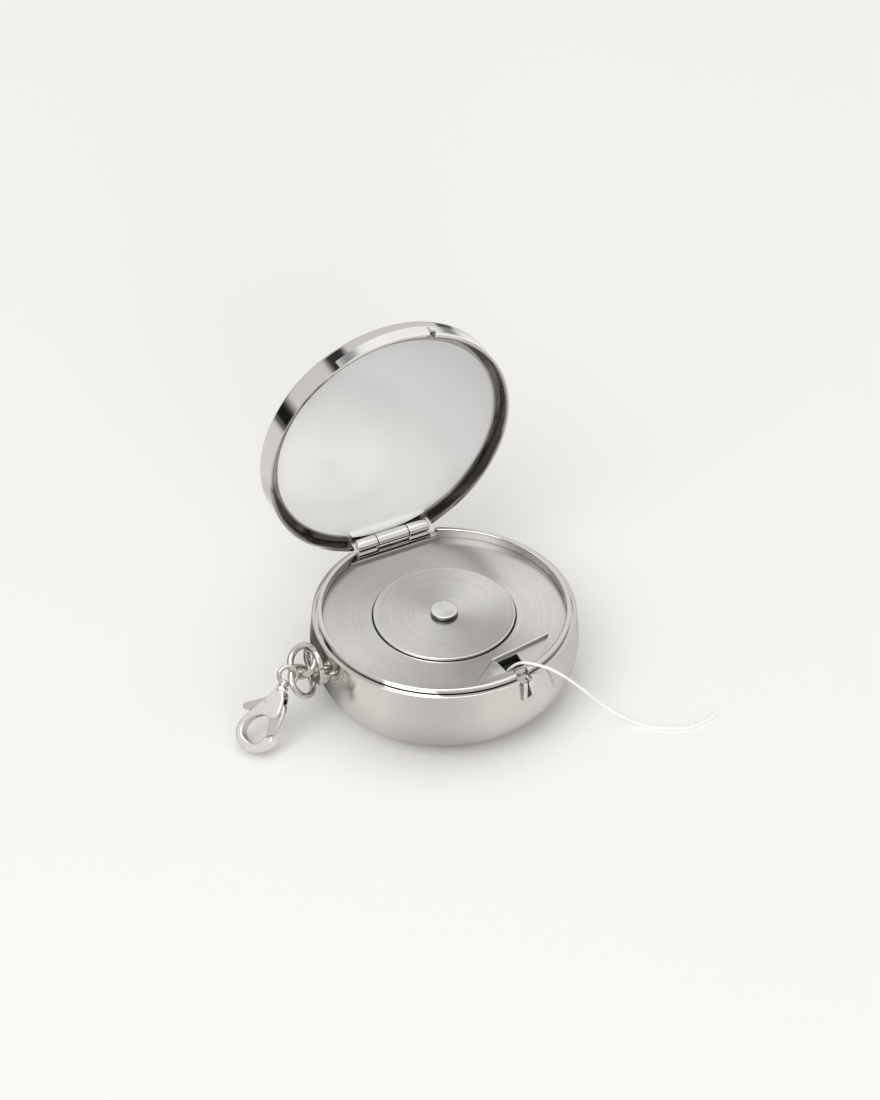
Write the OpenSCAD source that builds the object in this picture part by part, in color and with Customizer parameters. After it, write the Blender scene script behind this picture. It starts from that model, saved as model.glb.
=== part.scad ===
// Round floss dispenser: a bowl-shaped metal case with a hinged mirror lid,
// a winding disc over a hidden spool, an outlet with a rim cutter, and a
// strap lug carrying two jump rings and a swivel clasp.
// Frame: origin at the middle of the underside, +Z up, hinge on the +Y side,
// lug on the -X side. Millimetres. The lid is drawn open.

/* [Case] */
// Widest diameter of the case
case_d = 51; // [46:1:60]
// Height of the shoulder above the ground
case_h = 17.5; // [17:0.5:22]
// Height of the widest line
widest_z = 11.75; // [11:0.25:12]
// Radius of the bottom rounding
bottom_round = 13; // [12.5:0.25:15]
// How much the upper wall draws in on its way up
wall_draw = 0.4; // [0.2:0.1:0.8]
// Thickness of the case wall
case_wall = 0.8; // [0.6:0.1:1]
// Thickness of the case floor
case_floor = 1; // [0.8:0.1:1.2]
// Width of the seam groove between the shoulder and the rim collar
seam_w = 0.25; // [0.15:0.05:0.4]
// Depth of the seam groove
seam_deep = 0.45; // [0.3:0.05:0.8]

/* [Rim collar and deck] */
// Height of the rim collar above the shoulder
collar_rise = 1; // [0.6:0.1:1.3]
// Radial thickness of the rim collar
collar_t = 1; // [0.8:0.1:1.4]
// Depth of the deck below the shoulder
deck_drop = 0.9; // [0.4:0.1:1]
// Thickness of the deck sheet
deck_t = 0.8; // [0.5:0.1:0.9]
// Width of the ledge under the deck
ledge_w = 0.8; // [0.5:0.1:1.2]

/* [Winding disc and spool] */
// Diameter of the winding disc
disc_d = 27; // [22:0.5:28]
// Thickness of the winding disc
disc_t = 0.9; // [0.7:0.1:1.2]
// Height of the disc above the deck
disc_rise = 0.6; // [0.4:0.1:0.8]
// Gap between the disc and the deck around it
disc_gap = 0.25; // [0.15:0.05:0.5]
// Diameter of the knob on the spindle
knob_d = 5.2; // [4.4:0.2:8]
// Height of the knob
knob_h = 0.75; // [0.6:0.05:1]
// Diameter of the spindle
spindle_d = 3.2; // [2.4:0.2:4]
// Running clearance of the spool bore, radial
spool_run = 0.05; // [0.03:0.01:0.1]
// Room between the spool's lower flange and the case wall
spool_room = 2.55; // [2.2:0.05:5]
// Thickness of a spool flange
flange_t = 0.8; // [0.6:0.1:1.2]
// Diameter of the spool hub
hub_d = 10; // [8:0.5:14]
// How far the floss winding stays inside the flanges
winding_room = 2; // [1:0.5:5]
// Thickness of the friction washer
washer_t = 0.65; // [0.4:0.05:0.65]
// Diameter of the friction washer
washer_d = 8; // [6:0.5:10]

/* [Lid] */
// How far the lid's wall lies inside the case's widest line
lid_set = 0.2; // [0.1:0.05:0.4]
// Depth of the lid from its rim to its back
lid_depth = 5; // [4.6:0.1:6]
// Thickness of the lid wall and back
lid_wall = 0.7; // [0.6:0.05:0.9]
// Rounding of the edge between the lid's wall and its back
lid_round = 0.8; // [0.5:0.1:1.2]
// Gap between the closed lid and the shoulder
lid_gap = 0.15; // [0.1:0.05:0.3]
// Opening angle of the lid
lid_open = 88; // [60:1:88]

/* [Mirror] */
// Width of the sloping frame round the mirror
frame_w = 1.6; // [1.4:0.1:4]
// Depth of the mirror ring behind the lid's rim
mirror_inset = 1.7; // [1.7:0.05:2]
// Thickness of the mirror glass
glass_t = 1; // [0.8:0.1:1.2]
// How far the mirror ring's lip covers the edge of the glass
glass_lap = 0.45; // [0.3:0.05:0.5]
// Thickness of the mirror ring's lip
lip_t = 0.3; // [0.25:0.05:0.4]

/* [Thumb catch] */
// How far the thumb catch stands out from the lid
catch_out = 0.7; // [0.5:0.1:1.2]
// Height of the thumb catch above the relief for the strand
catch_bridge = 0.325; // [0.2:0.025:1]
// Half of the angle that the thumb catch spans
catch_span = 38; // [20:1:45]
// Direction of the thumb catch and the cutter, clockwise from the front
front_turn = 12; // [8:1:14]

/* [Hinge] */
// Height of the hinge axis above the shoulder
hinge_rise = 0.7; // [0.7:0.05:0.9]
// Distance of the hinge axis inside the case's widest line
hinge_in = 1.7; // [1.6:0.05:1.8]
// Diameter of the hinge knuckles
knuckle_d = 2.66; // [2.2:0.02:2.7]
// Length of the whole hinge barrel
barrel_len = 15; // [12:0.5:16]
// Length of the lid's middle knuckle
middle_len = 6.4; // [4:0.2:7]
// Gap between neighbouring knuckles
knuckle_gap = 0.15; // [0.1:0.05:0.3]
// Sideways place of the hinge
hinge_x = 0.8; // [0:0.1:1]
// Diameter of the hinge pin
hinge_pin_d = 1; // [0.8:0.05:1.2]
// Running clearance of the hinge pin, radial
pin_run = 0.05; // [0.03:0.01:0.1]

/* [Outlet and cutter] */
// Depth of the outlet recess at its back wall
outlet_deep = 1.4; // [1:0.1:1.5]
// Width of the rim notch that holds the cutter
notch_w = 2.7; // [2.2:0.1:3.4]
// Width of the cutter blade
blade_w = 2.4; // [1.8:0.1:2.4]
// Thickness of the cutter blade
blade_t = 0.4; // [0.3:0.05:0.45]
// Height of the blade's lower end
blade_low_z = 13.3; // [12:0.1:15]
// Width of the slot in the cutter blade
slot_w = 0.5; // [0.3:0.1:0.8]
// Outer radius of the guide eyelet
eyelet_r = 1.1; // [0.9:0.1:1.2]
// Radial room round the floss in the guide eyelet
eyelet_room = 0.17; // [0.1:0.01:0.3]

/* [Floss] */
// Diameter of the floss strand
floss_d = 0.55; // [0.4:0.05:0.6]
// Width of the relief in the lid for the strand
relief_w = 2; // [1.6:0.1:2.6]

/* [Strap lug] */
// Outer diameter of the lug plate
lug_d = 7.6; // [7:0.1:7.8]
// Diameter of the hole in the lug plate
lug_hole_d = 4.9; // [4.6:0.1:5]
// Thickness of the lug plate
lug_t = 1; // [0.8:0.05:1]
// Distance from the case's widest line to the middle of the lug plate
lug_out = 2; // [2:0.1:2.4]
// Height of the middle of the lug plate
lug_z = 14.9; // [14.9:0.05:15.2]
// Height of the rivets that hold the lug plate
rivet_z = 12.05; // [11.8:0.05:12.2]
// Half of the distance between the two rivets
rivet_half = 1.4; // [1.2:0.1:1.5]
// Diameter of the rivets
rivet_d = 1.2; // [0.8:0.1:1.2]

/* [Jump rings] */
// Wire diameter of the first jump ring
ring_one_wire = 1.1; // [0.9:0.05:1.1]
// Middle diameter of the first jump ring
ring_one_d = 5.9; // [5.8:0.1:6]
// Wire diameter of the second jump ring
ring_two_wire = 1; // [0.8:0.05:1]
// Middle diameter of the second jump ring
ring_two_d = 5.9; // [5.8:0.1:6]

/* [Swivel clasp] */
// Wire diameter of the swivel bail
bail_wire = 0.84; // [0.7:0.02:0.84]
// Middle diameter of the swivel bail's bow
bail_d = 3.4; // [3.4:0.1:3.8]
// Diameter of the swivel stem
stem_d = 0.9; // [0.7:0.05:1]
// Running clearance of the swivel stem, radial
stem_run = 0.05; // [0.03:0.01:0.1]
// Length of the clasp from its neck to the end of its hook
clasp_len = 14; // [12.6:0.1:14.2]
// Thickness of the clasp body
clasp_t = 2.3; // [2:0.1:2.4]
// Thickness of the lever
lever_t = 1.1; // [0.9:0.05:1.3]
// Side clearance of the lever in its slot
lever_side = 0.1; // [0.05:0.01:0.15]
// Diameter of the lever pin
lever_pin_d = 0.8; // [0.6:0.05:0.9]
// Running clearance of the lever on its pin, radial
lever_run = 0.05; // [0.03:0.01:0.1]

/* [Hidden] */
$fn = 96;

// Small play between fixed pieces that are pressed or glued together
fit = 0.05;

// Case
case_r = case_d / 2;
shoulder_r = case_r - wall_draw;
corner_r = case_r - bottom_round;
// Radius of the outer wall at a height above the widest line
function wall_r(z) = case_r - wall_draw * (z - widest_z) / (case_h - widest_z);

// Rim collar: it stands in a straight seat turned in the top of the wall
seat_r = shoulder_r - 0.75;
collar_r = seat_r - seam_w;
collar_in_r = collar_r - collar_t;
collar_top_z = case_h + collar_rise;
seat_z = case_h - 3.5;
seat_step = 0.4;
seam_z = case_h - seam_deep;
lip_r = 0.3;

// Deck
deck_z = case_h - deck_drop;
deck_low_z = deck_z - deck_t;
deck_r = collar_in_r - fit;
ledge_r = collar_in_r - ledge_w;

// Winding disc, spindle and spool
disc_top_z = deck_z + disc_rise;
disc_low_z = disc_top_z - disc_t;
disc_r = disc_d / 2;
deck_hole_r = disc_r + disc_gap;
run_gap = 0.1;
spindle_r = spindle_d / 2;
bore_r = spindle_r + spool_run;
spindle_top_z = disc_top_z + run_gap + knob_h * 0.5;
spool_low_z = case_floor + washer_t + fit + run_gap;
spool_high_z = deck_z - 2.5;
// Radius of the space inside the bowl at the lower flange
bowl_in_r = corner_r + sqrt(pow(bottom_round - case_wall, 2) - pow(widest_z - spool_low_z, 2));
flange_r = bowl_in_r - spool_room;
winding_r = flange_r - winding_room;

// Lid, drawn closed and then swung open about the hinge axis
lid_r = case_r - lid_set;
lid_rim_z = case_h + lid_gap;
lid_top_z = lid_rim_z + lid_depth;
lid_in_r = lid_r - lid_wall;
hinge_y = case_r - hinge_in;
hinge_z = case_h + hinge_rise;
knuckle_r = knuckle_d / 2;
swing_r = knuckle_r + 0.3;
barrel_half = barrel_len / 2;
middle_half = middle_len / 2;
lid_notch_half = barrel_half + 0.7;
case_notch_half = barrel_half + 1.2;
notch_floor_z = case_h - 1;
lip_bar_y = hinge_y - knuckle_r - 1.15;
lip_bar_t = 0.6;
leaf_t = 0.4;

// Mirror
mirror_face_z = lid_rim_z + mirror_inset;
glass_z = mirror_face_z + lip_t + fit;
ring_out_r = lid_in_r - fit;
mirror_r = ring_out_r - frame_w;
glass_r = mirror_r + glass_lap;
ring_top_z = glass_z + glass_t + 0.4;
pad_z = glass_z + glass_t + fit;
pad_top_z = lid_top_z - lid_wall - fit;

// Thumb catch: a disc set off towards the front meets the lid's wall at
// the ends of its span
catch_r = lid_r + catch_out;
catch_shift = (pow(catch_r, 2) - pow(lid_r, 2)) / (2 * (catch_r - lid_r * cos(catch_span)));
front_angle = front_turn - 90;

// Outlet: corners of the recess in the deck and of the hole in its floor,
// placed as shares of the deck's radius
outlet_back_left = deck_r * [0.0824, -0.6898];
outlet_back_right = deck_r * [0.6551, -0.5987];
outlet_rim_right = deck_r * [0.4425, -0.8503];
outlet_rim_left = deck_r * [-0.1605, -0.8894];
outlet_corners = [outlet_back_left, outlet_back_right, outlet_rim_right, outlet_rim_left];
outlet_middle = (outlet_back_left + outlet_back_right + outlet_rim_right + outlet_rim_left) / 4;
outlet_hole = deck_r * [[0.1171, -0.7072], [0.3167, -0.6811], [0.308, -0.833], [0.1302, -0.8807]];
outlet_turn = 9;
outlet_slope = 17;
outlet_wall = 0.3;
tray_low_z = deck_z - outlet_deep - 0.45;

// Cutter and its rim notch
cutter_angle = front_angle - 1.4;
cutter_z = case_h - 0.6;
cutter_floor_z = cutter_z - 0.05;

// Floss strand: from the guide eyelet up through the outlet, over the rim,
// down beside the case and along the ground. X and Y are shares of the case's
// radius. Heights are measured from the rim crossing, then as shares of the
// shoulder's height, and at last lie on the ground.
floss_r = floss_d / 2;
over_z = collar_top_z + floss_r + 0.075;
ground_z = floss_r + 0.025;
rim_run = [
    [0.141, -0.737, -3.65], [0.176, -0.765, -1.95], [0.212, -0.804, -0.75],
    [0.251, -0.855, -0.1], [0.302, -0.91, 0], [0.353, -0.961, -0.15],
    [0.424, -0.98, -1.55]
];
side_run = [
    [0.51, -0.98, 0.857], [0.592, -0.98, 0.714], [0.671, -0.98, 0.571],
    [0.749, -0.98, 0.423], [0.827, -0.984, 0.286], [0.902, -0.996, 0.171],
    [0.969, -1.024, 0.086], [1.024, -1.067, 0.034]
];
ground_run = [
    [1.09, -1.133], [1.224, -1.239], [1.384, -1.306], [1.514, -1.294], [1.612, -1.275]
];
floss_sides = 8;
relief_angle = atan2(rim_run[4][1], rim_run[4][0]) + 0.7;
relief_top_z = over_z + floss_r + 0.2;
catch_top_z = relief_top_z + catch_bridge;

// Guide: the eyelet stands clear of the spool, on an arm from a post under the deck
guide_turn = -79.9;
guide_gap = 0.7;
guide_t = 0.7;
guide_z = deck_low_z - 3.6;
guide_r = flange_r + guide_gap + eyelet_r;
guide_xy = guide_r * [cos(guide_turn), sin(guide_turn)];
guide_post_xy = (ledge_r - 1.25) * [cos(guide_turn - 6), sin(guide_turn - 6)];
floss_route = concat(
    [[guide_xy[0], guide_xy[1], guide_z - 1], [guide_xy[0], guide_xy[1], guide_z + 0.8]],
    [for (p = rim_run) [p[0] * case_r, p[1] * case_r, over_z + p[2]]],
    [for (p = side_run) [p[0] * case_r, p[1] * case_r, p[2] * case_h]],
    [for (p = ground_run) [p[0] * case_r, p[1] * case_r, ground_z]]);

// Strap lug
lug_x = -case_r - lug_out;
lug_r = lug_d / 2;
rivet_r = rivet_d / 2;

// Jump rings, bail and clasp: middles measured from the lug's middle, tilts
// from upright and turns about Z
ring_one_at = [lug_x - 0.8, 3.2, lug_z - 1.15];
ring_one_tilt = 47.9;
ring_one_yaw = 191.8;
ring_two_at = [lug_x - 2.2, 0.85, lug_z - 3.95];
ring_two_tilt = 49.3;
ring_two_yaw = -46;
bail_at = [lug_x - 4.8, 1.45, lug_z - 1.9];
bail_tilt = 41;
bail_yaw = 22.3;
bail_spin = -45;
clasp_spin = -87;
bail_r = bail_d / 2;
bail_wire_r = bail_wire / 2;
boss_r = 0.95;
boss_h = 0.75;
boss_drop = bail_r + bail_wire_r;
neck_drop = boss_drop + run_gap;
stem_r = stem_d / 2;
head_r = stem_r + 0.3;
head_h = 0.3;
collar_h = 1.2;
collar_w = 2;
// Scale of the clasp's outline, eye, mouth and lever
clasp_k = clasp_len / 14;
hook_r = 3.75 * clasp_k;
hook_low = clasp_len - hook_r;
hook_side = -0.8 * clasp_k;
lever_at = clasp_k * [-1.25, -3.9];
gate_r = 6.7 * clasp_k;
gate_gap = 0.15;
pin_lever_r = lever_pin_d / 2;

// Points of an arc from one angle to another
function arc(cx, cy, r, a0, a1, n) =
    [for (i = [0 : n]) let (a = a0 + (a1 - a0) * i / n) [cx + r * cos(a), cy + r * sin(a)]];

// A smooth curve through the four points p, at the share t of its middle span
function smooth(p, t) =
    0.5 * (2 * p[1] + (p[2] - p[0]) * t + (2 * p[0] - 5 * p[1] + 4 * p[2] - p[3]) * t * t
    + (3 * p[1] - p[0] - 3 * p[2] + p[3]) * t * t * t);
function at_end(route, i) = route[max(0, min(len(route) - 1, i))];
function refine(route, steps) = concat(
    [for (i = [0 : len(route) - 2], k = [0 : steps - 1])
        smooth([for (j = [-1 : 2]) at_end(route, i + j)], k / steps)],
    [route[len(route) - 1]]);
function unit(v) = v / norm(v);
function heading(path, i) = unit(at_end(path, i + 1) - at_end(path, i - 1));
function side_start(v) = unit(cross(v, abs(v[2]) < 0.9 ? [0, 0, 1] : [1, 0, 0]));
// Side directions carried along the path without twist
function sides_along(path) = [
    for (i = 0, s = side_start(heading(path, 0)); i < len(path);
        i = i + 1, s = unit(s - (s * heading(path, i)) * heading(path, i))) s];

// A round tube of radius r swept along a path
module tube(path, r, sides) {
    across = sides_along(path);
    points = [for (i = [0 : len(path) - 1])
        let (h = heading(path, i), u = unit(across[i] - (across[i] * h) * h), v = cross(h, u))
        for (k = [0 : sides - 1])
            path[i] + r * (cos(360 * k / sides) * u + sin(360 * k / sides) * v)];
    last = (len(path) - 1) * sides;
    faces = concat(
        [for (i = [0 : len(path) - 2], k = [0 : sides - 1])
            [i * sides + k, (i + 1) * sides + k, i * sides + (k + 1) % sides]],
        [for (i = [0 : len(path) - 2], k = [0 : sides - 1])
            [(i + 1) * sides + k, (i + 1) * sides + (k + 1) % sides, i * sides + (k + 1) % sides]],
        [[for (k = [0 : sides - 1]) k]],
        [[for (k = [sides - 1 : -1 : 0]) last + k]]);
    polyhedron(points, faces, convexity = 6);
}

// A flat ring
module ring(outer, inner, low, high) {
    translate([0, 0, low])
    rotate_extrude()
    translate([inner, 0])
    square([outer - inner, high - low]);
}

// Half section of the bowl, drawn in by an inset
module bowl_section(inset, low) {
    translate([0, low])
    square([corner_r, widest_z - low]);
    intersection() {
        translate([corner_r, widest_z])
        circle(r = bottom_round - inset);
        translate([0, low])
        square([case_r + 1, widest_z - low]);
    }
}

// A turn from the front direction to the X axis
module at_angle(a) {
    rotate([0, 0, a])
    children();
}

// A bar along X through the hinge axis
module hinge_bar(r, x0, x1) {
    translate([x0, hinge_y, hinge_z])
    rotate([0, 90, 0])
    cylinder(r = r, h = x1 - x0);
}

// The lid's swing from closed to open
module swung() {
    translate([0, hinge_y, hinge_z])
    rotate([-lid_open, 0, 0])
    translate([0, -hinge_y, -hinge_z])
    children();
}

module case_body() {
    color("silver")
    difference() {
        rotate_extrude()
        difference() {
            union() {
                bowl_section(0, 0);
                translate([0, widest_z])
                polygon([[0, 0], [case_r, 0],
                    [shoulder_r + 0.02, case_h - widest_z - 0.2],
                    [shoulder_r - 0.2, case_h - widest_z],
                    [0, case_h - widest_z]]);
            }
            bowl_section(case_wall, case_floor);
            polygon([[0, widest_z], [case_r - case_wall, widest_z],
                [case_r - case_wall - 0.05, seat_z - 0.85],
                [seat_r - seat_step, seat_z - 0.1], [seat_r - seat_step, seat_z],
                [seat_r, seat_z], [seat_r, case_h + 1], [0, case_h + 1]]);
        }
        // Hinge notch in the back of the rim
        translate([hinge_x - case_notch_half, hinge_y - 4, notch_floor_z])
        cube([2 * case_notch_half, 10, 5]);
        // Cutter notch in the front of the rim
        at_angle(cutter_angle)
        translate([case_r - 4, -notch_w / 2, cutter_floor_z])
        cube([8, notch_w, 5]);
        // Rivet holes for the lug
        for (side = [-1, 1])
            translate([-case_r - 1, side * rivet_half, rivet_z])
            rotate([0, 90, 0])
            cylinder(r = rivet_r + fit, h = 4);
    }
}

module rim_collar() {
    color("gainsboro") {
        difference() {
            rotate_extrude()
            polygon(concat(
                [[ledge_r, seat_z + fit], [seat_r - fit, seat_z + fit],
                    [seat_r - fit, seam_z], [collar_r, seam_z]],
                arc(collar_r - lip_r, collar_top_z - lip_r, lip_r, 0, 90, 5),
                arc(collar_in_r + lip_r, collar_top_z - lip_r, lip_r, 90, 180, 5),
                [[collar_in_r, deck_low_z - fit], [ledge_r, deck_low_z - fit]]));
            translate([hinge_x - case_notch_half, lip_bar_y + lip_bar_t, notch_floor_z])
            cube([2 * case_notch_half, 10, 5]);
            at_angle(cutter_angle)
            translate([ledge_r - 1, -notch_w / 2, cutter_floor_z])
            cube([8, notch_w, 5]);
        }
        // Straight lip that closes the deck's edge in front of the hinge
        intersection() {
            translate([hinge_x - case_notch_half - 2, lip_bar_y, deck_low_z - fit])
            cube([2 * case_notch_half + 4, lip_bar_t, deck_z + 0.6 - deck_low_z + fit]);
            translate([0, 0, seat_z])
            cylinder(r = collar_in_r + 0.2, h = 6);
        }
    }
}

module outlet_outline(inset) {
    polygon([for (p = outlet_corners) outlet_middle + (p - outlet_middle) * (1 - inset / 3)]);
}

module deck_plate() {
    color("lightgray")
    difference() {
        translate([0, 0, deck_low_z])
        cylinder(r = deck_r, h = deck_t);
        translate([0, 0, deck_low_z - 1])
        cylinder(r = deck_hole_r, h = deck_t + 2);
        translate([0, 0, deck_low_z - 1])
        linear_extrude(deck_t + 2)
        outlet_outline(0);
        translate([0, 0, deck_low_z - 1])
        linear_extrude(deck_t + 2)
        polygon(outlet_hole);
        translate([-deck_r, lip_bar_y - fit, deck_low_z - 1])
        cube([2 * deck_r, 10, deck_t + 2]);
    }
}

module outlet_tray() {
    color("darkgray")
    difference() {
        translate([0, 0, tray_low_z])
        linear_extrude(deck_z - 0.03 - tray_low_z)
        outlet_outline(fit);
        // Sloping floor: deep at the back wall, level with the deck at the rim
        intersection() {
            translate([0, 0, tray_low_z])
            linear_extrude(4)
            outlet_outline(outlet_wall + fit);
            translate([outlet_back_left[0], outlet_back_left[1], deck_z - outlet_deep])
            rotate([0, 0, outlet_turn])
            rotate([-outlet_slope, 0, 0])
            translate([-20, -20, 0])
            cube([40, 30, 10]);
        }
        translate([0, 0, tray_low_z - 1])
        linear_extrude(5)
        polygon(outlet_hole);
    }
}

module thread_cutter() {
    color("silver")
    at_angle(cutter_angle)
    difference() {
        translate([0, blade_w / 2, 0])
        rotate([90, 0, 0])
        linear_extrude(blade_w)
        polygon([
            [collar_in_r + fit, cutter_z],
            [collar_in_r + fit, cutter_z + 0.4],
            [collar_in_r - 0.25, collar_top_z + 0.1],
            [collar_in_r + 0.1, collar_top_z + 0.25],
            [collar_in_r + 0.5, cutter_z + blade_t],
            [wall_r(case_h) + 0.05 + blade_t, cutter_z + blade_t],
            [wall_r(blade_low_z) + 0.05 + blade_t, blade_low_z],
            [wall_r(blade_low_z) + 0.05, blade_low_z],
            [wall_r(case_h) + 0.05, cutter_z]]);
        // Tapering slot between the two facets of the fold
        translate([seat_r, 0, 0])
        rotate([90, 0, 90])
        linear_extrude(4)
        polygon([
            [0, cutter_z + 1], [slot_w, cutter_z + 1],
            [slot_w + 0.2, blade_low_z + 0.6], [slot_w, blade_low_z + 0.6]]);
    }
}

module spindle() {
    color("silver") {
        translate([0, 0, case_floor + 0.02])
        cylinder(r = spindle_r, h = spindle_top_z - case_floor - 0.02);
        // Foot welded to the floor
        ring(spindle_r + 0.9, spindle_r - 0.2, case_floor + 0.02, case_floor + 0.25);
    }
}

module spindle_knob() {
    color("gainsboro")
    difference() {
        translate([0, 0, disc_top_z + run_gap])
        rotate_extrude()
        polygon(concat([[0, 0], [knob_d / 2, 0]],
            arc(knob_d / 2 - 0.25, knob_h - 0.25, 0.25, 0, 90, 5), [[0, knob_h]]));
        translate([0, 0, disc_top_z])
        cylinder(r = spindle_r + 0.03, h = spindle_top_z + 0.05 - disc_top_z);
    }
}

module friction_washer() {
    color("dimgray")
    difference() {
        translate([0, 0, case_floor + fit])
        cylinder(r = washer_d / 2, h = washer_t);
        translate([0, 0, case_floor - 1])
        cylinder(r = spindle_r + 1, h = washer_t + 3);
    }
}

module floss_guide() {
    color("white")
    difference() {
        union() {
            translate([guide_xy[0], guide_xy[1], guide_z])
            cylinder(r = eyelet_r, h = guide_t);
            translate([guide_post_xy[0], guide_post_xy[1], guide_z])
            cylinder(r = 0.5, h = deck_low_z - fit - guide_z);
            arm = guide_xy - guide_post_xy;
            translate([guide_post_xy[0], guide_post_xy[1], guide_z + guide_t / 2])
            rotate([0, 0, atan2(arm[1], arm[0])])
            translate([0, -0.35, -guide_t / 2])
            cube([norm(arm) - floss_r - eyelet_room - 0.2, 0.7, guide_t]);
        }
        translate([guide_xy[0], guide_xy[1], guide_z - 1])
        cylinder(r = floss_r + eyelet_room, h = guide_t + 2);
    }
}

module floss_strand() {
    color("white")
    tube(refine(floss_route, 2), floss_r, floss_sides);
}

module base_leaf() {
    color("silver")
    difference() {
        union() {
            // Strip along the lip and the tabs under the side knuckles
            translate([hinge_x - barrel_half, lip_bar_y + lip_bar_t + fit, notch_floor_z + 0.02])
            cube([barrel_len, 1, leaf_t]);
            for (side = [-1, 1]) {
                inner = middle_half + knuckle_gap;
                x0 = side > 0 ? hinge_x + inner : hinge_x - barrel_half;
                x1 = side > 0 ? hinge_x + barrel_half : hinge_x - inner;
                translate([x0, lip_bar_y + lip_bar_t + fit, notch_floor_z + 0.02])
                cube([x1 - x0, hinge_y + 0.9 - lip_bar_y - lip_bar_t - fit, leaf_t]);
                translate([x0, hinge_y - 0.8, notch_floor_z + 0.02])
                cube([x1 - x0, 1.6, hinge_z - notch_floor_z]);
                hinge_bar(knuckle_r, x0, x1);
            }
        }
        hinge_bar(hinge_pin_d / 2 + pin_run, hinge_x - barrel_half - 1, hinge_x + barrel_half + 1);
        // Room for the lid's middle knuckle
        room_half = middle_half + knuckle_gap;
        hinge_bar(knuckle_r + 0.15, hinge_x - room_half, hinge_x + room_half);
    }
}

module hinge_pin() {
    color("gainsboro")
    hinge_bar(hinge_pin_d / 2, hinge_x - barrel_half - 0.1, hinge_x + barrel_half + 0.4);
}

module strap_lug() {
    color("silver")
    difference() {
        union() {
            translate([lug_x - lug_t / 2, 0, lug_z])
            rotate([0, 90, 0])
            cylinder(r = lug_r, h = lug_t);
            for (side = [-1, 1])
                translate([0, side * rivet_half, rivet_z])
                rotate([0, 90, 0]) {
                    // Rivet, flush with the wall's inner face, and its shoulder
                    translate([0, 0, lug_x])
                    cylinder(r = rivet_r, h = lug_out + case_wall);
                    translate([0, 0, lug_x])
                    cylinder(r = rivet_r + 0.35, h = lug_out - 0.08);
                }
        }
        translate([lug_x - lug_t, 0, lug_z])
        rotate([0, 90, 0])
        cylinder(r = lug_hole_d / 2, h = 2 * lug_t);
    }
}

module lid_shell() {
    color("silver")
    swung()
    difference() {
        rotate_extrude()
        polygon(concat(
            [[lid_in_r, lid_rim_z], [lid_r, lid_rim_z]],
            arc(lid_r - lid_round, lid_top_z - lid_round, lid_round, 0, 90, 6),
            [[0, lid_top_z], [0, lid_top_z - lid_wall], [lid_in_r, lid_top_z - lid_wall]]));
        // Room for the hinge barrel
        translate([hinge_x - lid_notch_half, hinge_y - 2, lid_rim_z - 1])
        cube([2 * lid_notch_half, 6, hinge_z + swing_r + 1 - lid_rim_z]);
        floss_relief();
    }
}

module floss_relief() {
    at_angle(relief_angle)
    translate([lid_in_r - 0.5, -relief_w / 2, lid_rim_z - 1])
    cube([6, relief_w, relief_top_z + 1 - lid_rim_z]);
}

module lid_leaf() {
    color("silver")
    swung()
    difference() {
        union() {
            hinge_bar(knuckle_r, hinge_x - middle_half, hinge_x + middle_half);
            translate([hinge_x - middle_half + 0.2, hinge_y, hinge_z])
            cube([middle_len - 0.4, 0.45, lid_depth - 2]);
        }
        hinge_bar(hinge_pin_d / 2 + pin_run, hinge_x - barrel_half, hinge_x + barrel_half);
    }
}

module mirror_ring() {
    color("darkgray")
    swung()
    difference() {
        rotate_extrude()
        polygon([
            [mirror_r, mirror_face_z + 0.05], [mirror_r + 0.2, mirror_face_z],
            [ring_out_r, mirror_face_z + 0.5], [ring_out_r, ring_top_z],
            [glass_r + fit, ring_top_z], [glass_r + fit, mirror_face_z + lip_t],
            [mirror_r, mirror_face_z + lip_t]]);
        hinge_bar(swing_r, hinge_x - lid_notch_half, hinge_x + lid_notch_half);
        translate([hinge_x - middle_half - 0.1, hinge_y - 0.15, lid_rim_z])
        cube([middle_len + 0.2, 4, lid_depth]);
    }
}

module mirror_glass() {
    color("lightsteelblue")
    swung()
    translate([0, 0, glass_z])
    cylinder(r = glass_r, h = glass_t);
}

module mirror_pad() {
    color("dimgray")
    swung()
    translate([0, 0, pad_z])
    cylinder(r = glass_r - 0.4, h = pad_top_z - pad_z);
}

module thumb_catch() {
    color("gainsboro")
    swung()
    difference() {
        at_angle(front_angle)
        translate([catch_shift, 0, lid_rim_z])
        cylinder(r = catch_r - catch_shift, h = catch_top_z - lid_rim_z);
        translate([0, 0, lid_rim_z - 1])
        cylinder(r = lid_r + 0.02, h = catch_top_z - lid_rim_z + 2);
        floss_relief();
    }
}

module spool_cap() {
    color("gainsboro")
    difference() {
        translate([0, 0, disc_low_z])
        rotate_extrude()
        polygon(concat([[0, 0], [disc_r, 0]],
            arc(disc_r - 0.15, disc_t - 0.15, 0.15, 0, 90, 4), [[0, disc_t]]));
        translate([0, 0, disc_low_z - 1])
        cylinder(r = bore_r, h = disc_t + 2);
    }
}

module spool_core() {
    color("white")
    difference() {
        union() {
            translate([0, 0, spool_low_z])
            cylinder(r = hub_d / 2, h = disc_low_z - fit - spool_low_z);
            translate([0, 0, spool_low_z])
            cylinder(r = flange_r, h = flange_t);
            translate([0, 0, spool_high_z - flange_t])
            cylinder(r = flange_r, h = flange_t);
        }
        translate([0, 0, spool_low_z - 1])
        cylinder(r = bore_r, h = disc_low_z + 2 - spool_low_z);
    }
}

module floss_winding() {
    color("white")
    ring(winding_r, hub_d / 2 + 0.02, spool_low_z + flange_t + 0.02, spool_high_z - flange_t - 0.02);
}

// A closed ring of round wire
module wire_ring(d, wire) {
    rotate_extrude()
    translate([d / 2, 0])
    circle(d = wire, $fn = 48);
}

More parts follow.
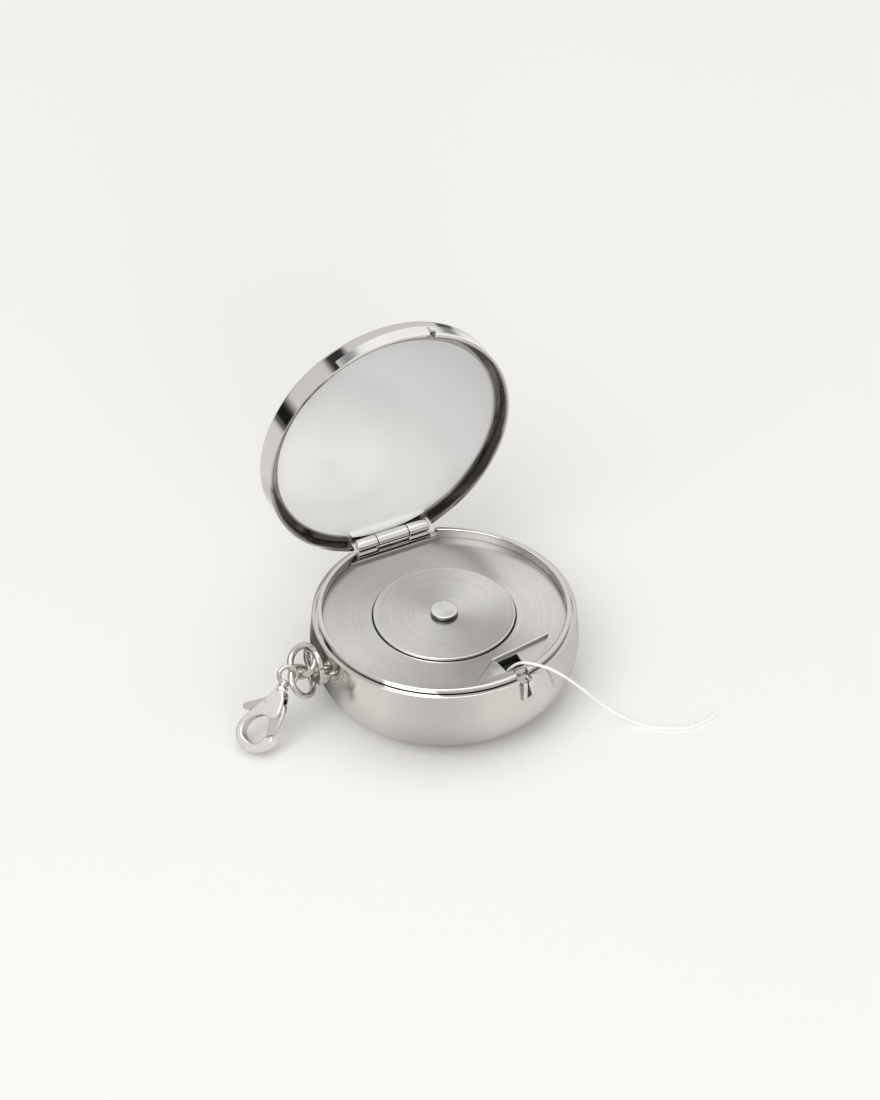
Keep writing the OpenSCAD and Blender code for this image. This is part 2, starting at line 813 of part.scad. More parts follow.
module jump_ring_one() {
    color("silver")
    translate(ring_one_at)
    rotate([0, ring_one_tilt, ring_one_yaw])
    wire_ring(ring_one_d, ring_one_wire);
}

module jump_ring_two() {
    color("silver")
    translate(ring_two_at)
    rotate([0, ring_two_tilt, ring_two_yaw])
    wire_ring(ring_two_d, ring_two_wire);
}

// The clasp's own frame: Z along its length, up to the bail
module clasp_frame(spin) {
    translate(bail_at)
    rotate([0, bail_tilt, bail_yaw])
    rotate([0, 0, spin])
    children();
}

module swivel_bail() {
    color("silver")
    clasp_frame(bail_spin)
    difference() {
        union() {
            rotate([90, 0, 0])
            wire_ring(bail_d, bail_wire);
            translate([0, 0, -boss_drop])
            cylinder(r = boss_r, h = boss_h);
        }
        translate([0, 0, -boss_drop - 1])
        cylinder(r = stem_r + stem_run, h = boss_h + 1);
        translate([0, 0, -boss_drop + boss_h])
        cylinder(r = head_r + 0.05, h = head_h + 0.1);
    }
}

module clasp_outline() {
    difference() {
        hull() {
            translate([0, -collar_h])
            circle(r = collar_w / 2, $fn = 24);
            translate([hook_side, -hook_low])
            circle(r = hook_r, $fn = 48);
        }
        // Eye of the hook
        hull() {
            translate([hook_side - 0.35 * clasp_k, -hook_low + 0.1 * clasp_k])
            circle(r = 2.25 * clasp_k, $fn = 32);
            translate([hook_side - 0.1 * clasp_k, -hook_low + 2 * clasp_k])
            circle(r = 2 * clasp_k, $fn = 32);
        }
        // Mouth that the lever closes
        intersection() {
            translate(lever_at)
            circle(r = gate_r, $fn = 64);
            translate([hook_side + 0.7 * clasp_k, -10.6 * clasp_k])
            square([5.5 * clasp_k, 4.9 * clasp_k]);
        }
    }
}

module clasp_body() {
    color("silver")
    clasp_frame(clasp_spin)
    translate([0, 0, -neck_drop])
    difference() {
        union() {
            translate([0, clasp_t / 2, 0])
            rotate([90, 0, 0])
            linear_extrude(clasp_t)
            clasp_outline();
            // Neck collar, stem and stem head
            translate([0, 0, -collar_h])
            cylinder(r = collar_w / 2, h = collar_h);
            translate([0, 0, -0.1])
            cylinder(r = stem_r, h = neck_drop - boss_drop + boss_h + 0.2);
            translate([0, 0, run_gap + boss_h + 0.05])
            cylinder(r = head_r, h = head_h - 0.05);
        }
        // Slot for the lever
        translate([-8 * clasp_k, -lever_t / 2 - lever_side, -7.2 * clasp_k])
        cube([14 * clasp_k, lever_t + 2 * lever_side, 5.2 * clasp_k]);
        translate([lever_at[0], clasp_t, lever_at[1]])
        rotate([90, 0, 0])
        cylinder(r = pin_lever_r + 0.02, h = 2 * clasp_t);
    }
}

module lever_pin() {
    color("gainsboro")
    clasp_frame(clasp_spin)
    translate([lever_at[0], clasp_t / 2 + 0.05, lever_at[1] - neck_drop])
    rotate([90, 0, 0])
    cylinder(r = pin_lever_r, h = clasp_t + 0.1);
}

// Gate that closes the mouth, boss round the pin and thumb tab
module lever_outline() {
    polygon(clasp_k * [
        [-0.6, 0.9], [0, 1.2], [0.7, 1], [3.1, -0.8], [3.7, -2.2], [4.6, -6.4], [2, -6.6],
        [1.6, -2.6], [0.4, -1.3], [-0.4, -1.3], [-3, -3.4], [-3.8, -3.3], [-4.1, -2.5], [-3.5, -1.6]]);
}

module clasp_lever() {
    color("gainsboro")
    clasp_frame(clasp_spin)
    translate([lever_at[0], 0, lever_at[1] - neck_drop])
    difference() {
        translate([0, lever_t / 2, 0])
        rotate([90, 0, 0])
        linear_extrude(lever_t)
        lever_outline();
        translate([0, lever_t, 0])
        rotate([90, 0, 0])
        cylinder(r = pin_lever_r + lever_run, h = 2 * lever_t);
        // Nose trimmed to an arc about the pin
        translate([0, lever_t, 0])
        rotate([90, 0, 0])
        difference() {
            cylinder(r = 2 * gate_r, h = 2 * lever_t);
            translate([0, 0, -1])
            cylinder(r = gate_r - gate_gap, h = 2 * lever_t + 2);
        }
    }
}

case_body();
rim_collar();
deck_plate();
outlet_tray();
thread_cutter();
spindle();
spindle_knob();
friction_washer();
floss_guide();
floss_strand();
base_leaf();
hinge_pin();
strap_lug();
lid_shell();
lid_leaf();
mirror_ring();
mirror_glass();
mirror_pad();
thumb_catch();
spool_cap();
spool_core();
floss_winding();
jump_ring_one();
jump_ring_two();
swivel_bail();
clasp_body();
lever_pin();
clasp_lever();
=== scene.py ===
"""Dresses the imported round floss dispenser: case, lid, mirror, deck, disc, floss, chain and clasp."""

import logging
import math
from dataclasses import dataclass
from enum import Enum
from typing import Any, Callable, Iterable, Optional, Sequence

import bmesh
import bpy
from mathutils import Matrix, Vector


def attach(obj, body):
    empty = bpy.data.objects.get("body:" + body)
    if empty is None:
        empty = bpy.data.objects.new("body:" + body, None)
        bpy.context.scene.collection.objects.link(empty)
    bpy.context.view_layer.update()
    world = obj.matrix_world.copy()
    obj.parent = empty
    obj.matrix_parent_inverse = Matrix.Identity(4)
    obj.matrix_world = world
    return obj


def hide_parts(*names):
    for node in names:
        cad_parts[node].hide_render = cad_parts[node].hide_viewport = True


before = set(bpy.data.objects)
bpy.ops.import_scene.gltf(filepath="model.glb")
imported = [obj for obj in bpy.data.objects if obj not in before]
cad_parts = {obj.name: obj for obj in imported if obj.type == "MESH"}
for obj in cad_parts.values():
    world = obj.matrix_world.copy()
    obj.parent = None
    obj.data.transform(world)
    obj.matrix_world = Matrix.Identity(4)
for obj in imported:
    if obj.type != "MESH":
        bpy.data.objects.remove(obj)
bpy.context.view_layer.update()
LOG = logging.getLogger("floss_dispenser")
Point = tuple[float, float]
Place = tuple[float, float, float]
Colour = tuple[float, float, float]
Outline = tuple[Point, ...]
Verts = list[bmesh.types.BMVert]

MM = 0.001
STEPS = 256  # steps in the turn of a notched shape
NOTCH_WALL = 0.03  # half the width of a notch's side wall, in degrees
ROUNDING = 3  # steps of a rounded edge
FLAT = 25.0  # degrees past which an edge of a small flat piece stays sharp
CUTTER_AT = -79.4  # heading of the cutter and of the rim's notch for it, in degrees
LID_OPEN = 88.0  # degrees from shut to the modelled pose
HINGE_AXIS = (0.0, 23.8, 18.2)  # a point on the hinge's axis, in millimetres
LID_CENTRE = (0.0, 22.97, 41.985)  # the shut lid's axis at the hinge's height, carried open
CLOUD, HANDLING = 0.16, 0.9  # noise scales of slow tone and of handling marks, per millimetre
RING_RUN = 90.0  # how far a ring's mark runs round before it changes
PAINTED_FAN_AT, PAINTED_FAN_SHARE = 22.0, 0.36  # heading in degrees and strength of the painted highlight, a two-fold fan of lighter and darker sectors in ringed metal's colour
LAMPS_FACE = (0.0, 0.0, 0.02)  # the point that the lamps face, in metres
MASK_EDGE = 0.05  # soft border of a shelter's painted shade, in millimetres
SHADE = (0.05, 0.05, 0.05)  # the colour that painted shade on a sheltered wall darkens towards


class Grain(Enum):
    """How the tool marks run over metal: the noise's scale per millimetre, detail and stretch."""

    POLISHED = (5.0, 5.0, (1, 1, 0.25))
    RINGS = (4.2, 4.0, (1, 1, 1))
    ALONG_X = (9.0, 3.0, (0.03, 1, 1))
    SATIN = (11.0, 4.0, (1, 1, 1))


class Lay(Enum):
    """Axis about which a profile is turned."""

    UPRIGHT = "z"
    ALONG_X = "x"


# Shader sums


def operator(operation: str, flipped: bool = False) -> Callable[["Signal", Any], "Signal"]:
    """Makes an arithmetic operator of Signal.

    Args:
        operation: The Math node's operation.
        flipped: Whether the signal is on the right.

    Returns:
        The operator's method.
    """

    def method(self: "Signal", other: Any) -> "Signal":
        """Adds one Math node."""
        return self.sum(operation, other, self) if flipped else self.sum(operation, self, other)

    return method


class Signal:
    """A shader socket that takes part in sums, so that a pattern reads as one expression."""

    def __init__(self, wiring: "Wiring", socket: bpy.types.NodeSocket) -> None:
        """Keeps the socket and the wiring that makes further nodes."""
        self.wiring = wiring
        self.socket = socket

    def sum(self, operation: str, first: Any, second: Any) -> "Signal":
        """Adds one Math node of two sides, each a signal or a number."""
        return self.wiring.node("ShaderNodeMath", {"operation": operation}, {0: first, 1: second})

    __add__ = __radd__ = operator("ADD")
    __sub__ = operator("SUBTRACT")
    __rsub__ = operator("SUBTRACT", flipped=True)
    __mul__ = __rmul__ = operator("MULTIPLY")
    __truediv__ = operator("DIVIDE")
    __pow__ = operator("POWER")

    def clamped(self) -> "Signal":
        """The value held between zero and one."""
        return self.sum("MINIMUM", self.sum("MAXIMUM", self, 0.0), 1.0)

    def ramp(self, low: float, high: float) -> "Signal":
        """Zero at one level and one at another, straight between them."""
        return ((self - low) / (high - low)).clamped()


class Wiring:
    """Makes and links the nodes of one material or of the world."""

    def __init__(self, tree: bpy.types.NodeTree) -> None:
        """Empties the tree."""
        self.tree = tree
        tree.nodes.clear()

    def node(
        self,
        kind: str,
        settings: Optional[dict[str, Any]] = None,
        inputs: Optional[dict[Any, Any]] = None,
        out: Any = 0,
    ) -> Signal:
        """Adds any node.

        Args:
            kind: The node's type name.
            settings: Attributes that are set first.
            inputs: Values or signals by socket name or number.
            out: Which output to give back.

        Returns:
            The chosen output as a signal, or the first input of a node without outputs.
        """
        made = self.tree.nodes.new(kind)
        for name, value in (settings or {}).items():
            setattr(made, name, value)
        for key, value in (inputs or {}).items():
            if isinstance(value, Signal):
                self.tree.links.new(value.socket, made.inputs[key])
            elif made.inputs[key].type == "RGBA":
                made.inputs[key].default_value = (*value, 1.0)
            else:
                made.inputs[key].default_value = value
        return Signal(self, made.outputs[out] if made.outputs else made.inputs[0])

    def vector(self, operation: str, first: Signal, second: Any = None, out: Any = 0) -> Signal:
        """Adds one Vector Math node of a signal and perhaps a second value."""
        inputs = {0: first} if second is None else {0: first, 1: second}
        return self.node("ShaderNodeVectorMath", {"operation": operation}, inputs, out)

    def toward(self, where: Signal, direction: Sequence[float]) -> Signal:
        """The dot product of a position or heading with a direction."""
        return self.vector("DOT_PRODUCT", where, tuple(direction), "Value")

    def split(self, where: Signal) -> list[Signal]:
        """The X, Y and Z of a vector."""
        parts = self.node("ShaderNodeSeparateXYZ", None, {0: where}).socket.node
        return [Signal(self, socket) for socket in parts.outputs]

    def place(self, centre: Place = (0.0, 0.0, 0.0), turn: Place = (0.0, 0.0, 0.0)) -> Signal:
        """Object coordinates in millimetres about a centre, turned.

        Args:
            centre: Centre of the pattern, in millimetres.
            turn: Euler angles of the pattern, in degrees.

        Returns:
            The position as a vector signal.
        """
        where = self.node("ShaderNodeTexCoord", out="Object")
        moved = self.vector("SUBTRACT", where, tuple(c * MM for c in centre))
        turned = tuple(math.radians(t) for t in turn)
        inputs = {"Vector": moved, "Rotation": turned, "Scale": (1 / MM,) * 3}
        return self.node("ShaderNodeMapping", {"vector_type": "POINT"}, inputs)

    def noise(self, where: Signal, scale: float, detail: float, stretch: Place = (1, 1, 1)) -> Signal:
        """Soft noise over a position, from zero to one."""
        pulled = self.vector("MULTIPLY", where, stretch)
        return self.node("ShaderNodeTexNoise", None, {"Vector": pulled, "Scale": scale, "Detail": detail})

    def bump(self, height: Signal, depth: float) -> Signal:
        """A normal from a height pattern of a depth in millimetres."""
        inputs = {"Strength": 1.0, "Distance": depth * MM, "Height": height}
        return self.node("ShaderNodeBump", None, inputs)

    def mixed(self, share: Signal, low: Any, high: Colour) -> Signal:
        """A colour between two, by a share."""
        return self.node("ShaderNodeMix", {"data_type": "RGBA"}, {0: share, 6: low, 7: high}, 2)

    def surface(self, inputs: dict[str, Any]) -> None:
        """Ends a material with one Principled shader."""
        shader = self.node("ShaderNodeBsdfPrincipled", None, inputs)
        self.node("ShaderNodeOutputMaterial", None, {0: shader})


def new_material(name: str) -> tuple[bpy.types.Material, Wiring]:
    """Starts a material.

    Args:
        name: The material's name.

    Returns:
        The material and the wiring of its nodes.
    """
    material = bpy.data.materials.new(name)
    material.use_nodes = True
    return material, Wiring(material.node_tree)


# Finishes


@dataclass(frozen=True)
class Shelter:
    """Walls that get painted shade, as they see little light: between two radii and below a height, with the
    share of the shade.
    """

    inner: float
    outer: float
    top: float
    depth: float


@dataclass(frozen=True)
class Steel:
    """A metal finish: its colours, gloss and tool marks; ringed metal also gets a painted fan of highlight, and
    sheltered walls, where given, painted shade.
    """

    name: str
    colour: Colour
    dark: Colour
    rough: float
    spread: float
    grain: Grain = Grain.POLISHED
    marks: float = 0.02
    pull: float = 0.0
    centre: Place = (0.0, 0.0, 0.0)
    turn: Place = (0.0, 0.0, 0.0)
    painted_shade: Optional[Shelter] = None

    def build(self) -> bpy.types.Material:
        """Makes the material.

        Returns:
            The finished material.
        """
        material, wiring = new_material(self.name)
        where = wiring.place(self.centre, self.turn)
        x, y, height = wiring.split(where)
        square = x * x + y * y
        radius = square**0.5
        cloud = wiring.noise(where, CLOUD, 3.0)
        if self.grain is Grain.RINGS:
            lines = {0: radius, 1: x / RING_RUN, 2: y / RING_RUN}
            marks = wiring.noise(wiring.node("ShaderNodeCombineXYZ", None, lines), *self.grain.value)
            # Painted highlight: a two-fold fan of lighter and darker sectors about the axis goes into the
            # colour, with the rings and the cloud.
            axis = math.radians(2 * PAINTED_FAN_AT)
            painted_fan = ((x * x - y * y) * math.cos(axis) + x * y * (2 * math.sin(axis))) / (square + 0.01)
            tone = (0.5 + painted_fan * PAINTED_FAN_SHARE + (marks - 0.5) * 0.7 + (cloud - 0.5) * 0.3).clamped()
            smudge = marks - 0.5
        else:
            marks = wiring.noise(where, *self.grain.value)
            handling = wiring.noise(where, HANDLING, 4.0)
            tone = (cloud * 0.45 + marks * 0.55).ramp(0.3, 0.7)
            smudge = (handling - 0.5) * 1.2 + (marks - 0.5) * 0.8
        colour = wiring.mixed(tone, self.dark, self.colour)
        # Painted shade: between two radii and below a height the colour is darkened towards SHADE.
        if self.painted_shade:
            inner, outer, top = self.painted_shade.inner, self.painted_shade.outer, self.painted_shade.top
            share = radius.ramp(inner, inner + MASK_EDGE) * (1.0 - radius.ramp(outer, outer + MASK_EDGE))
            share = share * (1.0 - height.ramp(top, top + MASK_EDGE)) * self.painted_shade.depth
            colour = wiring.mixed(share, colour, SHADE)
        inputs = {
            "Base Color": colour,
            "Metallic": 1.0,
            "Roughness": self.rough + self.spread * smudge,
            "Anisotropic": self.pull,
        }
        if self.marks:
            inputs["Normal"] = wiring.bump(marks, self.marks)
        wiring.surface(inputs)
        return material


@dataclass(frozen=True)
class Plain:
    """A finish for plastic, rubber, foam or thread, and for the near-black of painted shade."""

    name: str
    colour: Colour
    dark: Colour
    rough: float
    marks: float
    scale: float
    sheen: float = 0.0
    glow: float = 0.0

    def build(self) -> bpy.types.Material:
        """Makes the material.

        Returns:
            The finished material.
        """
        material, wiring = new_material(self.name)
        fine = wiring.noise(wiring.place(), self.scale, 3.0)
        inputs = {
            "Base Color": wiring.mixed(fine.ramp(0.25, 0.7), self.dark, self.colour),
            "Roughness": self.rough + 0.12 * (fine - 0.5),
            "Sheen Weight": self.sheen,
            "Subsurface Weight": self.glow,
            "Subsurface Radius": (0.3, 0.3, 0.3),
            "Subsurface Scale": 0.5 * MM,
            "Normal": wiring.bump(fine, self.marks),
        }
        wiring.surface(inputs)
        return material


@dataclass(frozen=True)
class PaintedReflectionMirror:
    """The mirror's face, whose colour holds a painted reflection that runs from bright at the start to grey at
    the end.
    """

    name: str
    bright: Colour
    grey: Colour
    rough: float
    metal: float
    start: Place
    end: Place

    def build(self) -> bpy.types.Material:
        """Makes the material.

        Returns:
            The finished material.
        """
        material, wiring = new_material(self.name)
        where = wiring.place()
        # Painted reflection: the colour runs from bright to grey along the line from start to end, with a
        # little haze.
        run = Vector(self.end) - Vector(self.start)
        step = run / run.length_squared
        share = (wiring.toward(where, step) - Vector(self.start).dot(step)).clamped()
        soft = share * share * (3 - 2 * share)
        haze = wiring.noise(where, 0.12, 2.0)
        inputs = {
            "Base Color": wiring.mixed((soft + 0.06 * (haze - 0.5)).clamped(), self.bright, self.grey),
            "Metallic": self.metal,
            "Roughness": self.rough + 0.03 * (haze - 0.5),
            "Coat Weight": 0.3,
            "Coat Roughness": 0.05,
        }
        wiring.surface(inputs)
        return material


class Finishes:
    """Every finish of the dispenser, built once."""

    def __init__(self) -> None:
        """Builds the materials."""
        made = (
            Steel("polished_case", (0.68, 0.66, 0.635), (0.64, 0.62, 0.595), 0.11, 0.03, marks=0.0006),
            # The lid's inner wall gets painted shade.
            Steel(
                "polished_lid", (0.68, 0.66, 0.635), (0.64, 0.62, 0.595), 0.07, 0.02, marks=0.0004,
                centre=LID_CENTRE, turn=(LID_OPEN, 0.0, 0.0), painted_shade=Shelter(0.0, 24.85, 4.1, 0.72),
            ),
            # The rim's inner wall gets painted shade.
            Steel(
                "polished_rim", (0.76, 0.745, 0.725), (0.71, 0.695, 0.675), 0.08, 0.03, marks=0.0006,
                painted_shade=Shelter(0.0, 23.16, 18.4, 0.6),
            ),
            # The catch's steel is painted near white: a painted highlight along the lid's rim.
            Steel("catch_painted_highlight", (0.97, 0.965, 0.955), (0.93, 0.925, 0.915), 0.2, 0.04, marks=0.0004),
            # The deck, disc and knob get the painted fan of highlight of ringed metal in their colour.
            Steel("brushed_deck", (0.74, 0.725, 0.70), (0.46, 0.45, 0.43), 0.30, 0.08, Grain.RINGS, 0.0, 0.75),
            Steel("turned_disc", (0.86, 0.845, 0.82), (0.54, 0.525, 0.505), 0.26, 0.06, Grain.RINGS, 0.0, 0.75),
            # The knob's side below its top gets painted shade.
            Steel(
                "turned_knob", (0.95, 0.94, 0.92), (0.80, 0.79, 0.77), 0.28, 0.06, Grain.RINGS, 0.0, 0.6,
                painted_shade=Shelter(2.3, 9.0, 17.93, 0.9),
            ),
            Steel("satin_tray", (0.66, 0.645, 0.62), (0.58, 0.565, 0.545), 0.34, 0.08, Grain.SATIN, 0.002),
            Steel("sprung_blade", (0.62, 0.60, 0.575), (0.52, 0.50, 0.48), 0.22, 0.08, Grain.SATIN, 0.002),
            Steel("honed_facet", (0.80, 0.785, 0.765), (0.66, 0.645, 0.625), 0.20, 0.08, Grain.SATIN, 0.002),
            Steel("hinge_barrel", (0.82, 0.805, 0.785), (0.72, 0.705, 0.685), 0.10, 0.05, Grain.ALONG_X, 0.001),
            Steel("plain_pin", (0.72, 0.70, 0.68), (0.62, 0.60, 0.58), 0.25, 0.08, Grain.SATIN, 0.002),
            Steel("polished_links", (0.66, 0.635, 0.60), (0.58, 0.555, 0.52), 0.09, 0.03, marks=0.0006),
            Steel("cast_clasp", (0.86, 0.84, 0.81), (0.76, 0.74, 0.71), 0.1, 0.03, marks=0.0006),
            # The mirror's frame is steel painted much darker than the rest: painted shade in the lid's hollow.
            Steel("mirror_frame", (0.40, 0.38, 0.355), (0.32, 0.305, 0.285), 0.15, 0.05, Grain.SATIN, 0.0006),
            # Near-black for painted shade, in the outlet's hole and the cutter's groove.
            Plain("painted_shade_black", (0.022, 0.021, 0.020), (0.012, 0.012, 0.012), 0.6, 0.004, 4.0),
            Plain("moulded_plastic", (0.085, 0.083, 0.08), (0.06, 0.058, 0.056), 0.45, 0.01, 3.0),
            Plain("floss_thread", (0.97, 0.965, 0.95), (0.90, 0.895, 0.88), 0.55, 0.02, 9.0, 0.3, 0.15),
            Plain("washer_rubber", (0.12, 0.12, 0.12), (0.08, 0.08, 0.08), 0.7, 0.01, 4.0),
            Plain("backing_foam", (0.25, 0.25, 0.25), (0.18, 0.18, 0.18), 0.9, 0.05, 3.0),
            PaintedReflectionMirror(
                "mirror_painted_reflection", (1.0, 1.0, 0.995), (0.56, 0.56, 0.565), 0.2, 0.3,
                (-12.0, 24.0, 26.0), (22.0, 24.0, 62.0),
            ),
        )
        self.by_name = {finish.name: finish.build() for finish in made}

    def __getitem__(self, name: str) -> bpy.types.Material:
        """The material of that name."""
        return self.by_name[name]


# The workbench


def arc(cx: float, cz: float, r: float, start: float, end: float, steps: int) -> list[Point]:
    """Points of an arc about a centre, from one angle in degrees to another."""
    turn = [math.radians(start + (end - start) * i / steps) for i in range(steps + 1)]
    return [(cx + r * math.cos(a), cz + r * math.sin(a)) for a in turn]


def flowing(points: Sequence[Sequence[float]], steps: int) -> list[Vector]:
    """A smooth line through points.

    Args:
        points: The points, of two or three numbers.
        steps: Steps in each span.

    Returns:
        The finer points.
    """
    rows = [Vector(p) for p in points]
    ends = [rows[0], *rows, rows[-1]]
    out = []
    for a, b, c, d in zip(ends, rows, rows[1:], ends[3:]):
        bend, twist = 2 * a - 5 * b + 4 * c - d, 3 * b - a - 3 * c + d
        for t in (k / steps for k in range(steps)):
            out.append(0.5 * (2 * b + (c - a) * t + bend * t**2 + twist * t**3))
    return [*out, rows[-1].copy()]


@dataclass(frozen=True)
class Notch:
    """A sector cut from a turned shape: direction and half-angle in degrees, and its floor's height."""

    middle: float
    half: float
    level: float


def placed(name: str, data: bpy.types.ID) -> bpy.types.Object:
    """Puts new data into the scene.

    Args:
        name: The object's name.
        data: A mesh, curve, camera or light.

    Returns:
        The new object.
    """
    thing = bpy.data.objects.new(name, data)
    bpy.context.scene.collection.objects.link(thing)
    return thing


class Workpiece:
    """A mesh on the bench, in millimetres, that ends as a finished piece."""

    def __init__(self) -> None:
        """Starts with an empty mesh."""
        self.mesh = bmesh.new()

    def _new_since(self, before: set[bmesh.types.BMVert]) -> Verts:
        """The vertices that were added after a note of the earlier ones."""
        return [v for v in self.mesh.verts if v not in before]

    def turned(
        self,
        profile: Sequence[Point],
        steps: int = STEPS,
        lay: Lay = Lay.UPRIGHT,
        sweep: float = 360.0,
        at: Sequence[float] = (0, 0, 0),
    ) -> Verts:
        """Spins a closed profile of radius and height.

        Args:
            profile: The outline as radius and height.
            steps: Steps in the turn.
            lay: The axis.
            sweep: Angle of the turn in degrees.
            at: Where the axis stands.

        Returns:
            The new vertices.
        """
        before = set(self.mesh.verts)
        loop = [self.mesh.verts.new((r, 0.0, z)) for r, z in profile]
        edges = [self.mesh.edges.new((loop[i - 1], loop[i])) for i in range(len(loop))]
        full = sweep >= 360.0
        if not full:
            self.mesh.faces.new(loop)
        made = bmesh.ops.spin(
            self.mesh,
            geom=loop + edges,
            axis=(0, 0, 1),
            angle=math.radians(sweep),
            steps=steps,
            use_merge=full,
        )
        if not full:
            last = [g for g in made["geom_last"] if isinstance(g, bmesh.types.BMEdge)]
            bmesh.ops.contextual_create(self.mesh, geom=last)
        bmesh.ops.remove_doubles(self.mesh, verts=self._new_since(before), dist=1e-5)
        loose = [e for e in self.mesh.edges if not e.link_faces]
        bmesh.ops.delete(self.mesh, geom=loose, context="EDGES")
        move = Matrix.Translation(Vector(at))
        if lay is Lay.ALONG_X:
            move = move @ Matrix.Rotation(math.pi / 2, 4, "Y")
        return self.moved(self._new_since(before), move)

    def notch(self, verts: Iterable[bmesh.types.BMVert], cut: Notch, lift: bool = False) -> None:
        """Sinks or lifts a sector of a turned shape to a level.

        Args:
            verts: The vertices of a shape that was turned in STEPS.
            cut: The sector and its floor.
            lift: Whether the notch opens downwards.
        """
        step = 360.0 / STEPS
        for v in verts:
            away = (math.degrees(math.atan2(v.co.y, v.co.x)) - cut.middle + 180) % 360 - 180
            goal = None
            if cut.half <= abs(away) < cut.half + step:
                goal = math.copysign(cut.half + NOTCH_WALL, away)
            elif cut.half - step < abs(away) < cut.half:
                goal = math.copysign(cut.half - NOTCH_WALL, away)
            if goal is not None:
                r, a = math.hypot(v.co.x, v.co.y), math.radians(cut.middle + goal)
                v.co.x, v.co.y = r * math.cos(a), r * math.sin(a)
            if abs(away) < cut.half:
                v.co.z = max(v.co.z, cut.level) if lift else min(v.co.z, cut.level)

    def plate(
        self,
        outline: Sequence[Sequence[float]],
        thick: float,
        soften: float = 0.0,
        segments: int = ROUNDING,
    ) -> Verts:
        """Extrudes an outline in the XZ plane evenly to both sides and rounds its edges.

        Args:
            outline: Points in X and Z.
            thick: Thickness along Y.
            soften: Radius of the rounded edges.
            segments: Steps of the rounding.

        Returns:
            The new vertices.
        """
        before = set(self.mesh.verts)
        face = self.mesh.faces.new([self.mesh.verts.new((p[0], -thick / 2, p[1])) for p in outline])
        grown = bmesh.ops.extrude_face_region(self.mesh, geom=[face])["geom"]
        top = [g for g in grown if isinstance(g, bmesh.types.BMVert)]
        bmesh.ops.translate(self.mesh, verts=top, vec=(0, thick, 0))
        if soften:
            mine = set(self._new_since(before))
            edges = [e for e in self.mesh.edges if mine.issuperset(e.verts)]
            rims = [e for e in edges if abs(e.verts[0].co.y - e.verts[1].co.y) < 1e-6]
            self.round_edges(rims, soften, segments)
        return self._new_since(before)

    def sheet(self, outline: Sequence[Sequence[float]], low: float, high: float, soften: float = 0.0) -> Verts:
        """Lays an outline in X and Y flat between two heights."""
        stand = Matrix.Translation((0, 0, (low + high) / 2)) @ Matrix.Rotation(-math.pi / 2, 4, "X")
        return self.moved(self.plate(outline, high - low, soften), stand)

    def block(self, low: Sequence[float], high: Sequence[float], soften: float = 0.0) -> Verts:
        """Adds a box with rounded edges between two corners.

        Args:
            low: The lower corner.
            high: The upper corner.
            soften: Radius of the rounded edges.

        Returns:
            The new vertices.
        """
        before = set(self.mesh.verts)
        made = bmesh.ops.create_cube(self.mesh, size=1.0)["verts"]
        a, b = Vector(low), Vector(high)
        self.moved(made, Matrix.Translation((a + b) / 2) @ Matrix.Diagonal((*(b - a), 1.0)))
        if soften:
            mine = set(made)
            self.round_edges([e for e in self.mesh.edges if e.verts[0] in mine], soften, ROUNDING)
        return self._new_since(before)

    def round_edges(self, edges: list[bmesh.types.BMEdge], radius: float, segments: int) -> None:
        """Bevels edges.

        Args:
            edges: The edges.
            radius: Width of the bevel.
            segments: Its steps.
        """
        bmesh.ops.bevel(
            self.mesh,
            geom=edges,
            offset=radius,
            segments=segments,
            profile=0.5,
            affect="EDGES",
            clamp_overlap=True,
            material=-1,
        )

    def wire(self, middle: float, wire: float, around: int, steps: int, split: float = 0.0) -> Verts:
        """A ring of round wire in the XY plane, with its cut where split is an angle."""
        section = arc(middle, 0, wire, 0, 360 - 360 / around, around - 1)
        return self.turned(section, steps, sweep=360.0 - split)

    def moved(self, verts: Sequence[bmesh.types.BMVert], matrix: Matrix) -> Verts:
        """Transforms some vertices and gives them back."""
        bmesh.ops.transform(self.mesh, matrix=matrix, verts=list(verts))
        return list(verts)

    def without(self, cutter: "Workpiece") -> None:
        """Cuts another mesh out of this one, and uses that one up.

        Args:
            cutter: The bench with the mesh to take away.
        """
        pair = []
        for i, bench in enumerate((self, cutter)):
            bmesh.ops.recalc_face_normals(bench.mesh, faces=bench.mesh.faces)
            data = bpy.data.meshes.new(f"bench_{i}")
            bench.mesh.to_mesh(data)
            pair.append(placed(f"bench_{i}", data))
        cut = pair[0].modifiers.new("cut", "BOOLEAN")
        cut.operation = "DIFFERENCE"
        cut.solver = "EXACT"
        cut.object = pair[1]
        bpy.context.view_layer.update()
        result = pair[0].evaluated_get(bpy.context.evaluated_depsgraph_get())
        self.mesh.clear()
        self.mesh.from_mesh(result.to_mesh())
        result.to_mesh_clear()
        for thing in pair:
            data = thing.data
            bpy.data.objects.remove(thing)
            bpy.data.meshes.remove(data)
        cutter.mesh.free()

